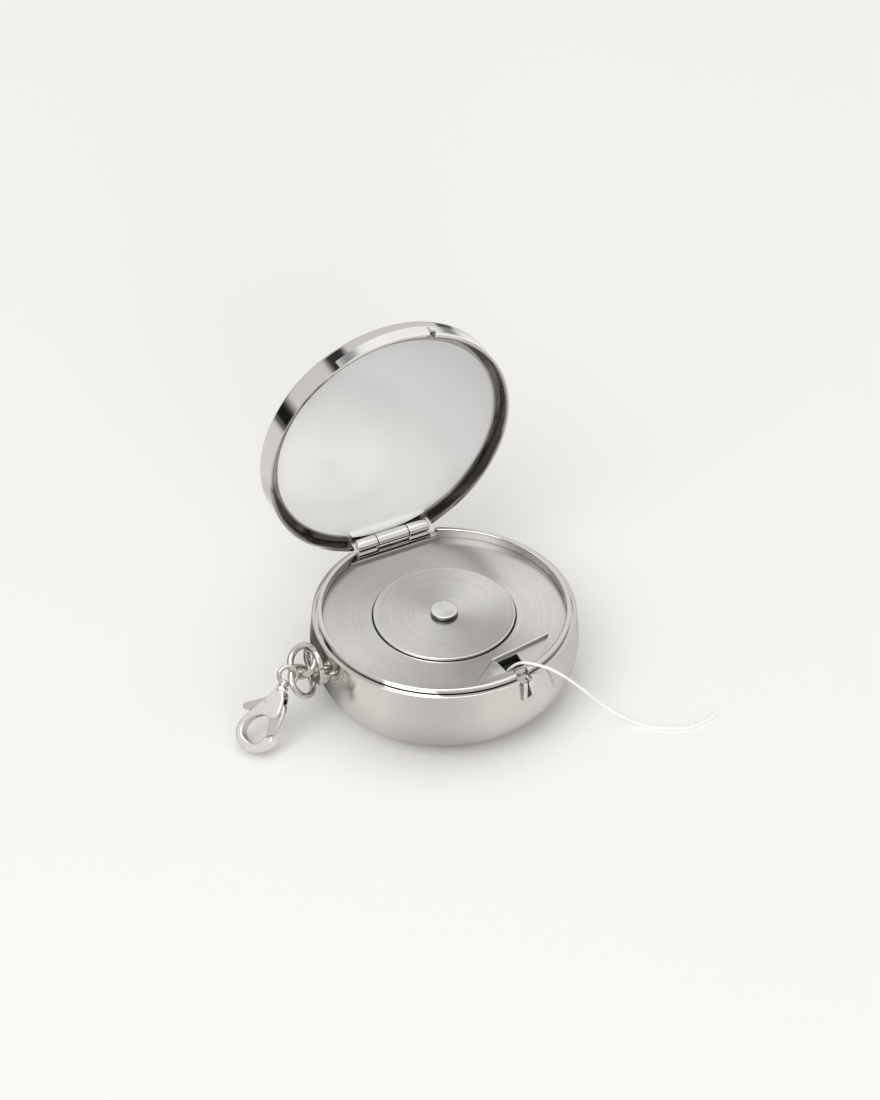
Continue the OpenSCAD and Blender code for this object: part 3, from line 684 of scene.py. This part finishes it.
    def done(
        self,
        name: str,
        material: bpy.types.Material,
        body: str,
        slot: str,
        replaces: Sequence[str] = (),
        sharp: float = 32.0,
        even: bool = True,
    ) -> None:
        """Turns the bench mesh into a piece that rides on its body.

        Args:
            name: The piece's name.
            material: Its finish.
            body: The CAD body that it rides on.
            slot: The record's material slot; not used.
            replaces: The CAD nodes that it stands for.
            sharp: Angle in degrees past which an edge stays sharp.
            even: Whether flat faces keep flat shading beside rounded edges.
        """
        bmesh.ops.recalc_face_normals(self.mesh, faces=self.mesh.faces)
        bmesh.ops.scale(self.mesh, vec=(MM,) * 3, verts=self.mesh.verts)
        data = bpy.data.meshes.new(name)
        self.mesh.to_mesh(data)
        self.mesh.free()
        data.materials.append(material)
        data.shade_smooth()
        data.set_sharp_from_angle(angle=math.radians(sharp))
        piece = placed(name, data)
        if even:
            piece.modifiers.new("even", "WEIGHTED_NORMAL").keep_sharp = True
        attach(piece, body)
        if replaces:
            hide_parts(*replaces)
        LOG.info("%s: %d faces on %s", name, len(data.polygons), body)


# Sub-assemblies


def wear(node: str, material: bpy.types.Material) -> None:
    """Gives a CAD node a finish.

    Args:
        node: The node's name.
        material: The finish.
    """
    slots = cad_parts[node].data.materials
    if not slots:
        slots.append(material)
    for i in range(len(slots)):
        slots[i] = material
    LOG.info("%s: wears %s", node, material.name)


def swing() -> Matrix:
    """The turn from shut to open about the hinge's axis."""
    pivot = Matrix.Translation(Vector(HINGE_AXIS))
    return pivot @ Matrix.Rotation(-math.radians(LID_OPEN), 4, "X") @ pivot.inverted()


def stood(at: Place, tilt: float, yaw: float) -> Matrix:
    """A place with a tilt about Y and then a turn about Z, in degrees."""
    turn = Matrix.Rotation(math.radians(yaw), 4, "Z") @ Matrix.Rotation(math.radians(tilt), 4, "Y")
    return Matrix.Translation(Vector(at)) @ turn


@dataclass
class Case:
    """The bowl, its rim collar and the straight lip in front of the hinge."""

    finishes: Finishes
    height: float = 17.5
    bend: Point = (12.5, 11.75)
    bend_r: float = 13.0
    wall: float = 0.8
    bowl_gaps: tuple[Notch, ...] = (Notch(88.05, 20.65, 16.5), Notch(CUTTER_AT, 3.13, 16.85))
    rim_gaps: tuple[Notch, ...] = (Notch(87.9, 21.65, 16.5), Notch(CUTTER_AT, 3.28, 16.85))
    lip: tuple[Place, Place] = ((-9.4, 20.67, 15.75), (9.4, 21.27, 17.2))
    lip_soft: float = 0.18

    def build(self) -> None:
        """Builds every piece of the case."""
        self.bowl()
        self.collar()
        wear("deck_plate", self.finishes["brushed_deck"])

    def bowl(self) -> None:
        """Turns the bowl and sinks its two notches."""
        bench = Workpiece()
        x, z = self.bend
        profile = [(0.0, 0.0), (17.7, 0.0)]
        profile += arc(x, z, self.bend_r, -64.0, 0.0, 40)
        profile += [(25.42, 13.2), (25.32, 14.6), (25.22, 16.0), (25.14, 17.1)]
        profile += arc(24.94, 17.28, 0.2, 5, 90, 5)
        profile += [(24.35, 17.48), (24.35, 14.0), (23.95, 14.0), (23.95, 13.9), (24.65, 13.15), (24.7, z)]
        profile += arc(x, z, self.bend_r - self.wall, 0.0, -60.0, 16)
        profile += [(x, 1.0), (0.0, 1.0)]
        verts = bench.turned(profile)
        for gap in self.bowl_gaps:
            bench.notch(verts, gap)
        bench.done("case_bowl", self.finishes["polished_case"], "case", "case_metal", ["case_body"])

    def collar(self) -> None:
        """Turns the rim collar, sinks its notches and adds the straight lip."""
        bench = Workpiece()
        low, top, soft = self.height - 3.45, self.height + 1.0, 0.3
        profile = [(22.3, low), (24.3, low), (24.3, 17.05), (24.1, 17.05)]
        profile += arc(23.8, top - soft, soft, 0, 90, 8)
        profile += arc(23.4, top - soft, soft, 90, 180, 8)
        profile += [(23.1, 15.75), (22.3, 15.75)]
        verts = bench.turned(profile)
        for gap in self.rim_gaps:
            bench.notch(verts, gap)
        bench.block(*self.lip, self.lip_soft)
        bench.done("rim_ring", self.finishes["polished_rim"], "case", "rim_metal", ["rim_collar"])


@dataclass
class Outlet:
    """The recess that the floss leaves by, and the cutter on the rim in front of it."""

    finishes: Finishes
    deck_top: float = 16.6
    sunk: float = 0.55
    thick: float = 0.25
    blade_r: float = 25.86
    facet: float = 0.16
    recess: Outline = ((2.0, -15.95), (15.0, -13.87), (10.2, -19.6), (2.9, -20.32))
    fold: Outline = ((1.95, -15.95), (2.62, -16.35), (2.95, -20.36), (-3.6, -20.45))
    hole: Outline = ((2.65, -16.3), (7.3, -15.7), (7.1, -19.2), (3.0, -20.28))

    def build(self) -> None:
        """Builds the recess and the cutter."""
        self.well()
        self.bead()
        self.cutter()

    def well(self) -> None:
        """Builds the shallow floor, the fold beside it and a near-black throat under its square hole, painted
        shade for the hole's depth.
        """
        floor = self.deck_top - self.sunk
        bench, cut = Workpiece(), Workpiece()
        bench.sheet(self.recess, floor - self.thick, floor)
        cut.sheet(self.hole, floor - 2.0, floor + 2.0)
        bench.without(cut)
        tray = self.finishes["satin_tray"]
        bench.done("outlet_floor", tray, "case", "tray_metal", ["outlet_tray"], FLAT, False)
        bench = Workpiece()
        bench.sheet(self.fold, self.deck_top - 0.5, self.deck_top - 0.03, 0.05)
        bench.done("outlet_fold", self.finishes["brushed_deck"], "case", "deck_metal", (), FLAT, False)
        # Painted shade: a near-black sleeve round the square hole, below the floor.
        middle = sum((Vector(p) for p in self.hole), Vector((0, 0))) / len(self.hole)
        wide = [middle + (Vector(p) - middle) * 1.06 for p in self.hole]
        bench, cut = Workpiece(), Workpiece()
        bench.sheet(wide, floor - 1.35, floor - self.thick - 0.02)
        cut.sheet(self.hole, floor - 3.0, floor + 1.0)
        bench.without(cut)
        bench.done("outlet_hole_painted_shade", self.finishes["painted_shade_black"], "case", "tray_metal", (), FLAT, False)

    def bead(self) -> None:
        """Builds the round bead along the recess's back edge."""
        start, end = (Vector((*corner, 0)) for corner in self.recess[:2])
        run, r, soft = end - start, 0.22, 0.1
        long = run.length
        bench = Workpiece()
        bench.turned([(0, 0), (0.16, 0), (r, soft), (r, long - soft), (0.16, long), (0, long)], 20)
        turn = run.to_track_quat("Z", "Y").to_matrix().to_4x4()
        spot = start + Vector((0, 0.12, self.deck_top + 0.02))
        bench.moved(bench.mesh.verts, Matrix.Translation(spot) @ turn)
        bench.done("outlet_bead", self.finishes["honed_facet"], "case", "deck_metal")

    def cutter(self) -> None:
        """Builds the honed facets and a near-black inlay on the face of the cutter, painted shade for its
        groove.
        """
        stand = Matrix.Rotation(math.radians(CUTTER_AT + 90), 4, "Z")
        stand = stand @ Matrix.Translation((0, -self.blade_r, 0))
        bench = Workpiece()
        left = [(-1.18, 13.4), (-0.28, 13.55), (-0.22, 17.3), (-0.5, 17.5), (-1.18, 17.4)]
        right = [(1.18, 14.0), (1.18, 17.4), (0.3, 17.5), (0.0, 17.1), (0.8, 14.1)]
        bench.plate(left, self.facet, 0.05, 2)
        bench.plate(right, self.facet, 0.05, 2)
        bench.moved(bench.mesh.verts, stand)
        bench.done("cutter_facets", self.finishes["honed_facet"], "case", "blade_metal")
        # Painted shade: a thin near-black inlay stands for the shadowed groove.
        bench = Workpiece()
        bench.plate([(-0.3, 13.6), (0.85, 13.95), (0.05, 17.2), (-0.25, 17.3)], 0.04)
        bench.moved(bench.mesh.verts, stand)
        bench.done("cutter_groove_painted_shade", self.finishes["painted_shade_black"], "case", "blade_metal", (), FLAT, False)


@dataclass
class Winder:
    """The winding disc, its knob and the wound floss under the deck."""

    finishes: Finishes
    top: float = 17.2
    r: float = 13.5
    stack: Point = (2.65, 13.27)
    rows: int = 22

    def build(self) -> None:
        """Builds the disc, the knob and the winding, and finishes what they turn on."""
        self.disc()
        self.knob()
        self.winding()
        for node, finish in (
            ("spool_core", "moulded_plastic"),
            ("floss_guide", "moulded_plastic"),
            ("friction_washer", "washer_rubber"),
            ("spindle", "plain_pin"),
        ):
            wear(node, self.finishes[finish])

    def disc(self) -> None:
        """Turns the disc with a rounded edge and a slightly sunk face."""
        low, top, r = self.top - 0.9, self.top, self.r
        profile = [(1.65, low), (r, low)]
        profile += arc(r - 0.2, top - 0.2, 0.2, 0, 90, 6)
        profile += [(r - 0.55, top), (r - 0.62, top - 0.03), (1.65, top - 0.03)]
        bench = Workpiece()
        bench.turned(profile, 224)
        metal = self.finishes["turned_disc"]
        bench.done("winding_disc", metal, "spool", "disc_metal", ["spool_cap"], even=False)

    def knob(self) -> None:
        """Turns the knob."""
        base = self.top + 0.1
        profile = [(0.0, base), (2.45, base), (2.58, base + 0.08), (2.6, base + 0.2)]
        profile += arc(2.36, base + 0.49, 0.24, 0, 80, 6)
        profile += [(2.2, base + 0.735), (0.0, base + 0.75)]
        bench = Workpiece()
        bench.turned(profile, 96)
        bench.done("disc_knob", self.finishes["turned_knob"], "case", "disc_metal", ["spindle_knob"])

    def winding(self) -> None:
        """Turns the wound floss as a stack of ribs."""
        low, high = self.stack
        profile = [(5.02, low)]
        for i in range(self.rows):
            z = low + (high - low) * (i + 0.5) / self.rows
            profile += [(14.72, z - 0.2), (14.95, z), (14.72, z + 0.2)]
        profile += [(5.02, high)]
        bench = Workpiece()
        bench.turned(profile, 96)
        bench.done("wound_floss", self.finishes["floss_thread"], "spool", "floss_fibre", ["floss_winding"])


@dataclass
class Lid:
    """The lid with its mirror, drawn shut and then swung open."""

    finishes: Finishes
    r: float = 25.3
    rim: float = 17.65
    depth: float = 5.0
    wall: float = 0.7
    gaps: tuple[Notch, ...] = (Notch(88.1, 19.3, 19.83), Notch(-70.9, 2.0, 19.325))
    bezel_gap: Notch = Notch(88.1, 19.9, 19.84)
    catch_at: float = -78.0

    def build(self) -> None:
        """Builds the shell, the mirror's frame, the catch and the mirror."""
        self.shell()
        self.bezel()
        self.catch()
        wear("mirror_glass", self.finishes["mirror_painted_reflection"])
        wear("mirror_pad", self.finishes["backing_foam"])

    def shell(self) -> None:
        """Turns the shell and lifts its gaps for the hinge and the floss."""
        top, r, rim, inner = self.rim + self.depth, self.r, self.rim, self.r - self.wall
        profile = [(inner, rim + 0.08), (r - 0.62, rim), (r - 0.08, rim), (r, rim + 0.08), (r, rim + 2.0)]
        profile += arc(r - 0.8, top - 0.8, 0.8, 0, 90, 10)
        profile += [(20.0, top), (0.0, top), (0.0, top - self.wall)]
        profile += [(inner, top - self.wall), (inner, rim + 2.5)]
        bench = Workpiece()
        verts = bench.turned(profile)
        for gap in self.gaps:
            bench.notch(verts, gap, lift=True)
        bench.moved(bench.mesh.verts, swing())
        bench.done("lid_cover", self.finishes["polished_lid"], "lid", "case_metal", ["lid_shell"])

    def bezel(self) -> None:
        """Turns the stepped ring that holds the mirror."""
        profile = [(22.95, 19.4), (23.0, 19.35), (23.15, 19.35), (23.3, 19.38), (24.45, 19.83)]
        profile += [(24.55, 19.9), (24.55, 21.1), (23.45, 21.1), (23.45, 19.65), (22.95, 19.65)]
        bench = Workpiece()
        bench.notch(bench.turned(profile), self.bezel_gap, lift=True)
        bench.moved(bench.mesh.verts, swing())
        bench.done("mirror_bezel", self.finishes["mirror_frame"], "lid", "mirror_frame", ["mirror_ring"])

    def catch(self) -> None:
        """Builds the thumb catch, a crescent along the rim with a groove for the floss."""
        crescent = arc(2.961, 0, 23.039, -41.8, 41.8, 48) + arc(0, 0, 25.32, 37.2, -37.2, 40)
        bench, groove = Workpiece(), Workpiece()
        bench.sheet(crescent, self.rim, self.rim + 2.0)
        groove.block((24.0, 2.7, self.rim - 1.0), (27.0, 4.0, self.rim + 1.66))
        bench.without(groove)
        bench.moved(bench.mesh.verts, swing() @ Matrix.Rotation(math.radians(self.catch_at), 4, "Z"))
        bench.done("lid_catch", self.finishes["catch_painted_highlight"], "lid", "rim_metal", ["thumb_catch"], FLAT)


@dataclass
class Hinge:
    """The three knuckles, their leaves and the pin."""

    finishes: Finishes
    x: float = 0.8
    r: float = 1.33
    bore: float = 0.56
    half: float = 7.5
    middle: float = 3.35
    front: float = 21.97
    leaf: Point = (16.52, 16.92)

    def knuckle(self, bench: Workpiece, start: float, end: float) -> None:
        """Turns one knuckle along X with softened ends and the pin's bore.

        Args:
            bench: The bench that it is added to.
            start: Its first end on X.
            end: Its last end on X.
        """
        soft, long = 0.15, end - start
        profile = [(self.bore, 0.0), (self.r - soft, 0.0)]
        profile += arc(self.r - soft, soft, soft, -90, 0, 5)
        profile += arc(self.r - soft, long - soft, soft, 0, 90, 5)
        profile += [(self.bore, long)]
        bench.turned(profile, 72, Lay.ALONG_X, at=(start, *HINGE_AXIS[1:]))

    def build(self) -> None:
        """Builds the fixed leaf, the lid's leaf and the pin."""
        x, (_, y, z), (low, high) = self.x, HINGE_AXIS, self.leaf
        barrel = self.finishes["hinge_barrel"]
        bench = Workpiece()
        bench.block((x - self.half, self.front, low), (x + self.half, 22.6, high), 0.06)
        for start, end in ((x - self.half, x - self.middle), (x + self.middle, x + self.half)):
            self.knuckle(bench, start, end)
            bench.block((start, self.front, low), (end, y + 0.9, high), 0.05)
            bench.block((start + 0.05, y - 0.8, 16.6), (end - 0.05, y + 0.8, 17.5), 0.05)
        bench.done("hinge_fixed_leaf", barrel, "case", "hinge_metal", ["base_leaf"])
        bench = Workpiece()
        bench.moved(bench.block((x - 3.0, y, z + 0.9), (x + 3.0, y + 0.45, z + 3.0), 0.05), swing())
        self.knuckle(bench, x - 3.2, x + 3.2)
        bench.done("hinge_lid_leaf", barrel, "lid", "hinge_metal", ["lid_leaf"])
        bench = Workpiece()
        profile = [(0.0, 0.0), (0.5, 0.05), (0.5, 15.4), (0.42, 15.5), (0.0, 15.5)]
        bench.turned(profile, 40, Lay.ALONG_X, at=(x - 7.6, y, z))
        bench.done("hinge_rod", self.finishes["plain_pin"], "case", "pin_metal", ["hinge_pin"])


@dataclass
class Chain:
    """The strap lug and the two jump rings."""

    finishes: Finishes
    lug_at: Place = (-27.5, 0.0, 14.9)
    ring_one_at: Place = (-28.3, 3.2, 13.75)
    ring_two_at: Place = (-29.7, 0.85, 10.95)
    ring_r: float = 2.95

    def build(self) -> None:
        """Builds the lug and the rings."""
        self.lug()
        self.ring("first_ring", 0.64, self.ring_one_at, (47.9, 191.8, 2.2), "ring_one", "jump_ring_one")
        self.ring("second_ring", 0.6, self.ring_two_at, (49.3, -46.0, -1.2), "ring_two", "jump_ring_two")

    def lug(self) -> None:
        """Turns the lug's eye and its two riveted feet."""
        inner, outer, half, soft = 2.45, 3.8, 0.5, 0.3
        corners = [(outer - soft, half - soft), (inner + soft, half - soft)]
        corners += [(inner + soft, soft - half), (outer - soft, soft - half)]
        profile = []
        for i, (r, z) in enumerate(corners):
            profile += arc(r, z, soft, 90 * i, 90 * i + 90, 5)
        bench = Workpiece()
        bench.turned(profile, 128, Lay.ALONG_X, at=self.lug_at)
        for side in (-1, 1):
            spot = (self.lug_at[0], side * 1.4, 12.05)
            foot = [(0, 0.1), (0.95, 0.1), (0.95, 1.7), (0.75, 1.9), (0.0, 1.9)]
            bench.turned(foot, 40, Lay.ALONG_X, at=spot)
            bench.turned([(0, 1.8), (0.6, 1.8), (0.6, 2.75), (0.0, 2.75)], 32, Lay.ALONG_X, at=spot)
        bench.done("strap_eye", self.finishes["polished_links"], "case", "chain_metal", ["strap_lug"])

    def ring(self, name: str, wire: float, at: Place, turn: Place, body: str, node: str) -> None:
        """Builds one split ring.

        Args:
            name: The piece's name.
            wire: The wire's radius.
            at: The ring's centre.
            turn: Its tilt about Y and turn about Z in degrees, and its cut's place in radians.
            body: The CAD body that it rides on.
            node: The CAD node that it stands for.
        """
        tilt, yaw, cut = turn
        bench = Workpiece()
        verts = bench.wire(self.ring_r, wire, 28, 120, 0.9)
        bench.moved(verts, stood(at, tilt, yaw) @ Matrix.Rotation(cut, 4, "Z"))
        bench.done(name, self.finishes["polished_links"], body, "chain_metal", [node])


@dataclass
class Clasp:
    """The swivel bail and the clasp with its lever."""

    finishes: Finishes
    at: Place = (-32.3, 1.45, 13.0)
    tilt: float = 41.0
    yaw: float = 22.3
    bail_spin: float = -45.0
    clasp_spin: float = -87.0
    drop: float = -2.22
    pivot: Point = (-1.25, -3.9)
    thick: float = 2.3
    smooth: int = 3
    body_points: Outline = (
        (-0.7, -1.0), (-1.25, -2.3), (-2.1, -4.0), (-3.1, -5.9), (-3.95, -7.6), (-4.5, -9.2), (-4.7, -10.6),
        (-4.45, -11.8), (-3.65, -12.9), (-2.4, -13.65), (-0.9, -13.97), (0.7, -13.75), (2.0, -13.0),
        (3.0, -11.9), (3.45, -10.7), (3.5, -9.8),
    )
    tip_points: Outline = ((3.2, -9.1), (2.85, -9.28), (2.45, -9.55), (2.0, -9.84), (1.6, -10.05))
    eye_points: Outline = (
        (1.45, -10.3), (1.3, -11.1), (0.75, -11.8), (-0.2, -12.25), (-1.45, -12.25), (-2.6, -11.8),
        (-3.3, -10.9), (-3.4, -9.8), (-3.05, -8.7), (-2.4, -7.8), (-1.6, -7.0), (-0.7, -6.5), (0.3, -6.4),
        (1.1, -6.4), (1.75, -6.2),
    )
    side_points: Outline = (
        (2.2, -5.75), (2.38, -5.2), (2.3, -4.0), (2.05, -2.6), (1.6, -1.5), (1.2, -1.0),
    )
    lever_back: Outline = (
        (-0.6, 0.8), (0.1, 1.15), (1.6, 1.3), (3.1, 1.0), (4.0, 0.2), (4.3, -1.2), (4.35, -2.8), (4.3, -4.2),
    )
    lever_front: Outline = (
        (2.6, -4.8), (2.2, -3.4), (1.75, -2.2), (1.0, -1.5), (0.2, -1.3), (-0.6, -1.6), (-1.9, -2.6),
        (-3.2, -3.25), (-4.0, -3.4), (-4.45, -3.05), (-4.45, -2.5), (-4.0, -1.95), (-2.8, -1.05), (-1.5, 0.0),
    )
    lever_reach: float = 6.62

    def local(self, spin: float) -> Matrix:
        """The swivel's frame, with its length along Z, after a spin in degrees about that."""
        return stood(self.at, self.tilt, self.yaw) @ Matrix.Rotation(math.radians(spin), 4, "Z")

    def seat(self) -> Matrix:
        """The clasp's frame."""
        return self.local(self.clasp_spin) @ Matrix.Translation((0, 0, self.drop))

    def build(self) -> None:
        """Builds the bail, the body, the rivet and the lever."""
        self.bail()
        self.body()
        self.rivet()
        self.lever()

    def bail(self) -> None:
        """Builds the wire loop and its bored boss."""
        bench = Workpiece()
        bench.moved(bench.wire(1.7, 0.42, 24, 96), Matrix.Rotation(math.pi / 2, 4, "X"))
        boss = [(0.5, -2.12), (0.85, -2.12), (0.95, -2.02), (0.95, -1.5), (0.82, -1.37), (0.5, -1.37)]
        bench.turned(boss, 56)
        bench.moved(bench.mesh.verts, self.local(self.bail_spin))
        bench.done("swivel_loop", self.finishes["polished_links"], "bail", "chain_metal", ["swivel_bail"])

    def body(self) -> None:
        """Builds the cast body with its slot, neck and stem."""
        outline = flowing(self.body_points, self.smooth) + list(self.tip_points)
        outline += flowing(self.eye_points, self.smooth) + list(self.side_points)
        bench, slot = Workpiece(), Workpiece()
        bench.plate(outline, self.thick, 0.6, 6)
        slot.block((-8, -0.62, -7.6), (6, 0.62, -1.9))
        bench.without(slot)
        bench.block((-0.85, -0.85, -1.6), (1.05, 0.85, -0.1), 0.2)
        bench.turned([(0.0, -1.25), (0.9, -1.25), (1.0, -1.1), (1.0, -0.18), (0.95, -0.1), (0, -0.1)], 48)
        stem = [(0, -0.15), (0.45, -0.15), (0.45, 0.9), (0.75, 0.9), (0.75, 1.1), (0.6, 1.15), (0.0, 1.15)]
        bench.turned(stem, 40)
        bench.moved(bench.mesh.verts, self.seat())
        bench.done("clasp_casting", self.finishes["cast_clasp"], "clasp", "chain_metal", ["clasp_body"], 40)

    def rivet(self) -> None:
        """Builds the rivet that the lever turns on."""
        x, z = self.pivot
        across = Matrix.Translation((x, 1.2, z)) @ Matrix.Rotation(math.pi / 2, 4, "X")
        bench = Workpiece()
        bench.turned([(0, 0.0), (0.32, 0.0), (0.4, 0.08), (0.4, 2.32), (0.32, 2.4), (0.0, 2.4)], 32)
        bench.moved(bench.mesh.verts, self.seat() @ across)
        bench.done("lever_rivet", self.finishes["plain_pin"], "clasp", "pin_metal", ["lever_pin"])

    def lever(self) -> None:
        """Builds the lever with its thumb tab and nose."""
        x, z = self.pivot
        outline = flowing(self.lever_back, self.smooth) + arc(0, 0, self.lever_reach, -50, -65, 3)
        outline += flowing(self.lever_front, self.smooth)
        bench = Workpiece()
        bench.moved(bench.plate(outline, 1.1, 0.2), self.seat() @ Matrix.Translation((x, 0, z)))
        bench.done("clasp_gate", self.finishes["polished_links"], "lever", "chain_metal", ["clasp_lever"], 40)


@dataclass
class Strand:
    """The free end of the floss, from the outlet over the rim to the ground."""

    finishes: Finishes
    thick: float = 0.55
    length: float = 56.2
    exit: Place = (4.49, -19.51, 16.9)
    route: tuple[Place, ...] = (
        (3.3, -18.52, 11.2), (3.3, -18.52, 13.0), (3.6, -18.79, 15.2), (4.49, -19.51, 16.9),
        (5.41, -20.5, 18.1), (6.4, -21.8, 18.75), (7.7, -23.2, 18.85), (9.0, -24.51, 18.7),
        (10.81, -24.99, 17.3), (13.0, -24.99, 15.0), (15.1, -24.99, 12.5), (17.11, -24.99, 9.99),
        (19.1, -24.99, 7.4), (21.09, -25.09, 5.0), (23.0, -25.4, 2.99), (24.71, -26.11, 1.5),
        (26.11, -27.21, 0.6), (27.8, -28.89, 0.3), (31.21, -31.59, 0.3), (35.29, -33.3, 0.3),
        (38.61, -33.0, 0.3), (41.11, -32.51, 0.3),
    )

    def build(self) -> None:
        points = flowing(self.route, 6)
        curve = bpy.data.curves.new("floss_end", "CURVE")
        curve.dimensions = "3D"
        curve.bevel_depth = self.thick / 2 * MM
        curve.bevel_resolution = 5
        curve.use_fill_caps = True
        line = curve.splines.new("POLY")
        line.points.add(len(points) - 1)
        for spot, p in zip(line.points, points):
            spot.co = (*(p * MM), 1.0)
        line.use_smooth = True
        curve.materials.append(self.finishes["floss_thread"])
        piece = placed("floss_end", curve)
        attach(piece, "case")
        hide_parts("floss_strand")
        LOG.info("floss_end: %d points", len(points))


# The studio


def heading(angle: float) -> Place:
    """The level direction of an angle in degrees."""
    return (math.cos(math.radians(angle)), math.sin(math.radians(angle)), 0.0)


@dataclass(frozen=True)
class Card:
    """A soft dark spot that only metal shows: direction, half-width and edge in degrees, and depth."""

    direction: Place
    width: float
    soft: float
    depth: float


@dataclass(frozen=True)
class Lamp:
    """A soft square lamp: place and side in metres, power, and whether polished metal shows it."""

    name: str
    at: Place
    size: float
    watts: float
    mirrored: bool = True

    def build(self) -> None:
        """Stands the lamp up, facing the object."""
        data = bpy.data.lights.new(self.name, "AREA")
        data.shape = "SQUARE"
        data.size = self.size
        data.energy = self.watts
        lamp = placed(self.name, data)
        lamp.location = self.at
        lamp.rotation_mode = "QUATERNION"
        lamp.rotation_quaternion = (Vector(self.at) - Vector(LAMPS_FACE)).to_track_quat("Z", "Y")
        lamp.visible_glossy = self.mirrored


@dataclass
class Studio:
    """Camera, floor, lamps and the surroundings that the metal shows."""

    azimuth: float = -27.0
    elevation: float = 39.64
    distance: float = 1500.0
    right: float = -0.805
    up: float = 25.089
    lens: float = 257.482
    floor_half: float = 4.0
    pale: Colour = (0.915, 0.907, 0.893)
    daylight: Colour = (1.0, 0.99, 0.975)
    backdrop: float = 0.92
    ambient: float = 0.48
    mirrored: float = 0.86
    horizon: float = 0.85
    far_floor: float = 0.8
    lamps: tuple[Lamp, ...] = (
        Lamp("key_softbox", (-1.1, -0.7, 1.6), 1.4, 16.5),
        Lamp("front_softbox", (-0.5, -1.9, 0.75), 1.2, 11.0, False),
        Lamp("top_softbox", (0.3, 0.2, 2.0), 1.6, 9.8),
    )
    sky_cards: tuple[Card, ...] = (
        Card((-0.24, 0.686, 0.687), 5.0, 4.0, 0.95),
        Card((-0.73, 0.686, 0.02), 7.0, 6.0, 0.9),
    )
    floor_cards: tuple[Card, ...] = (
        Card(heading(145.0), 14.0, 22.0, 0.85),
        Card(heading(-121.0), 4.0, 28.0, 0.2),
        Card(heading(44.0), 20.0, 30.0, 0.45),
        Card(heading(-13.0), 10.0, 30.0, 0.2),
    )

    def camera(self) -> None:
        """Stands the camera where the photograph was taken from."""
        a, e = math.radians(self.azimuth), math.radians(self.elevation)
        right = Vector((math.cos(a), math.sin(a), 0))
        back = Vector((math.sin(a) * math.cos(e), -math.cos(a) * math.cos(e), math.sin(e)))
        up = back.cross(right)
        data = bpy.data.cameras.new("photo_camera")
        data.sensor_fit = "AUTO"
        data.sensor_width = 36.0
        data.lens = self.lens
        data.clip_start, data.clip_end = 0.05, 20.0
        camera = placed("photo_camera", data)
        spot = back * self.distance + right * self.right + up * self.up
        turn = Matrix((right, up, back)).transposed().to_4x4()
        camera.matrix_world = Matrix.Translation(spot * MM) @ turn
        bpy.context.scene.camera = camera

    def darkened(self, shown: Signal, facing: Signal, cards: Sequence[Card], near: Any = 1.0) -> Signal:
        """Takes dark cards out of a brightness.

        Args:
            shown: The brightness without them.
            facing: The direction that is looked at, of length one.
            cards: The cards.
            near: A share that holds for all of them.

        Returns:
            The brightness with them.
        """
        for card in cards:
            toward = facing.wiring.toward(facing, Vector(card.direction).normalized())
            edge, full = (math.cos(math.radians(a)) for a in (card.width + card.soft, card.width))
            shown = shown * (1.0 - near * card.depth * toward.ramp(edge, full))
        return shown

    def floor(self) -> None:
        """Lays the pale floor, which metal shows darker far off and, close by, in the cards' directions."""
        bench = bmesh.new()
        bmesh.ops.create_grid(bench, x_segments=1, y_segments=1, size=self.floor_half)
        data = bpy.data.meshes.new("floor")
        bench.to_mesh(data)
        bench.free()
        material, wiring = new_material("pale_floor")
        spot = wiring.node("ShaderNodeTexCoord", out="Object")
        away = wiring.vector("LENGTH", spot, out="Value")
        shown = 1.0 - self.far_floor * away.ramp(0.45, 0.9)
        near = 1.0 - away.ramp(0.055, 0.085)
        shown = self.darkened(shown, wiring.vector("NORMALIZE", spot), self.floor_cards, near)
        glossy = wiring.node("ShaderNodeLightPath", out="Is Glossy Ray")
        share = 1.0 - glossy * (1.0 - shown)
        colour = wiring.mixed(share, (0.0, 0.0, 0.0), self.pale)
        wiring.surface({"Base Color": colour, "Roughness": 0.9, "Specular IOR Level": 0.0})
        data.materials.append(material)
        placed("floor", data)

    def surroundings(self) -> None:
        """Paints the world: even light, and for metal a sky with a dark horizon and dark cards."""
        world = bpy.data.worlds.new("studio")
        bpy.context.scene.world = world
        world.use_nodes = True
        wiring = Wiring(world.node_tree)
        facing = wiring.node("ShaderNodeTexCoord", out="Generated")
        height = wiring.split(facing)[2]
        band = height.ramp(-0.02, 0.0) - height.ramp(0.10, 0.16)
        shown = self.darkened(self.mirrored * (1.0 - self.horizon * band), facing, self.sky_cards)
        glossy = wiring.node("ShaderNodeLightPath", out="Is Glossy Ray")
        seen = wiring.node("ShaderNodeLightPath", out="Is Camera Ray")
        strength = seen * self.backdrop + (1.0 - seen) * (glossy * shown + (1.0 - glossy) * self.ambient)
        light = wiring.node("ShaderNodeBackground", None, {"Color": self.daylight, "Strength": strength})
        wiring.node("ShaderNodeOutputWorld", None, {0: light})

    def build(self) -> None:
        """Sets up the lamps, the floor and the surroundings."""
        for lamp in self.lamps:
            lamp.build()
        self.floor()
        self.surroundings()
        bpy.context.scene.view_settings.view_transform = "Standard"


def main() -> None:
    """Builds the camera, the strand, every sub-assembly and the studio in order."""
    logging.basicConfig(level=logging.INFO, format="%(name)s %(message)s")
    studio = Studio()
    studio.camera()
    finishes = Finishes()
    Strand(finishes).build()
    for part in (Case, Outlet, Winder, Lid, Hinge, Chain, Clasp):
        part(finishes).build()
    wear("thread_cutter", finishes["sprung_blade"])
    studio.build()


if __name__ == "__main__":
    main()
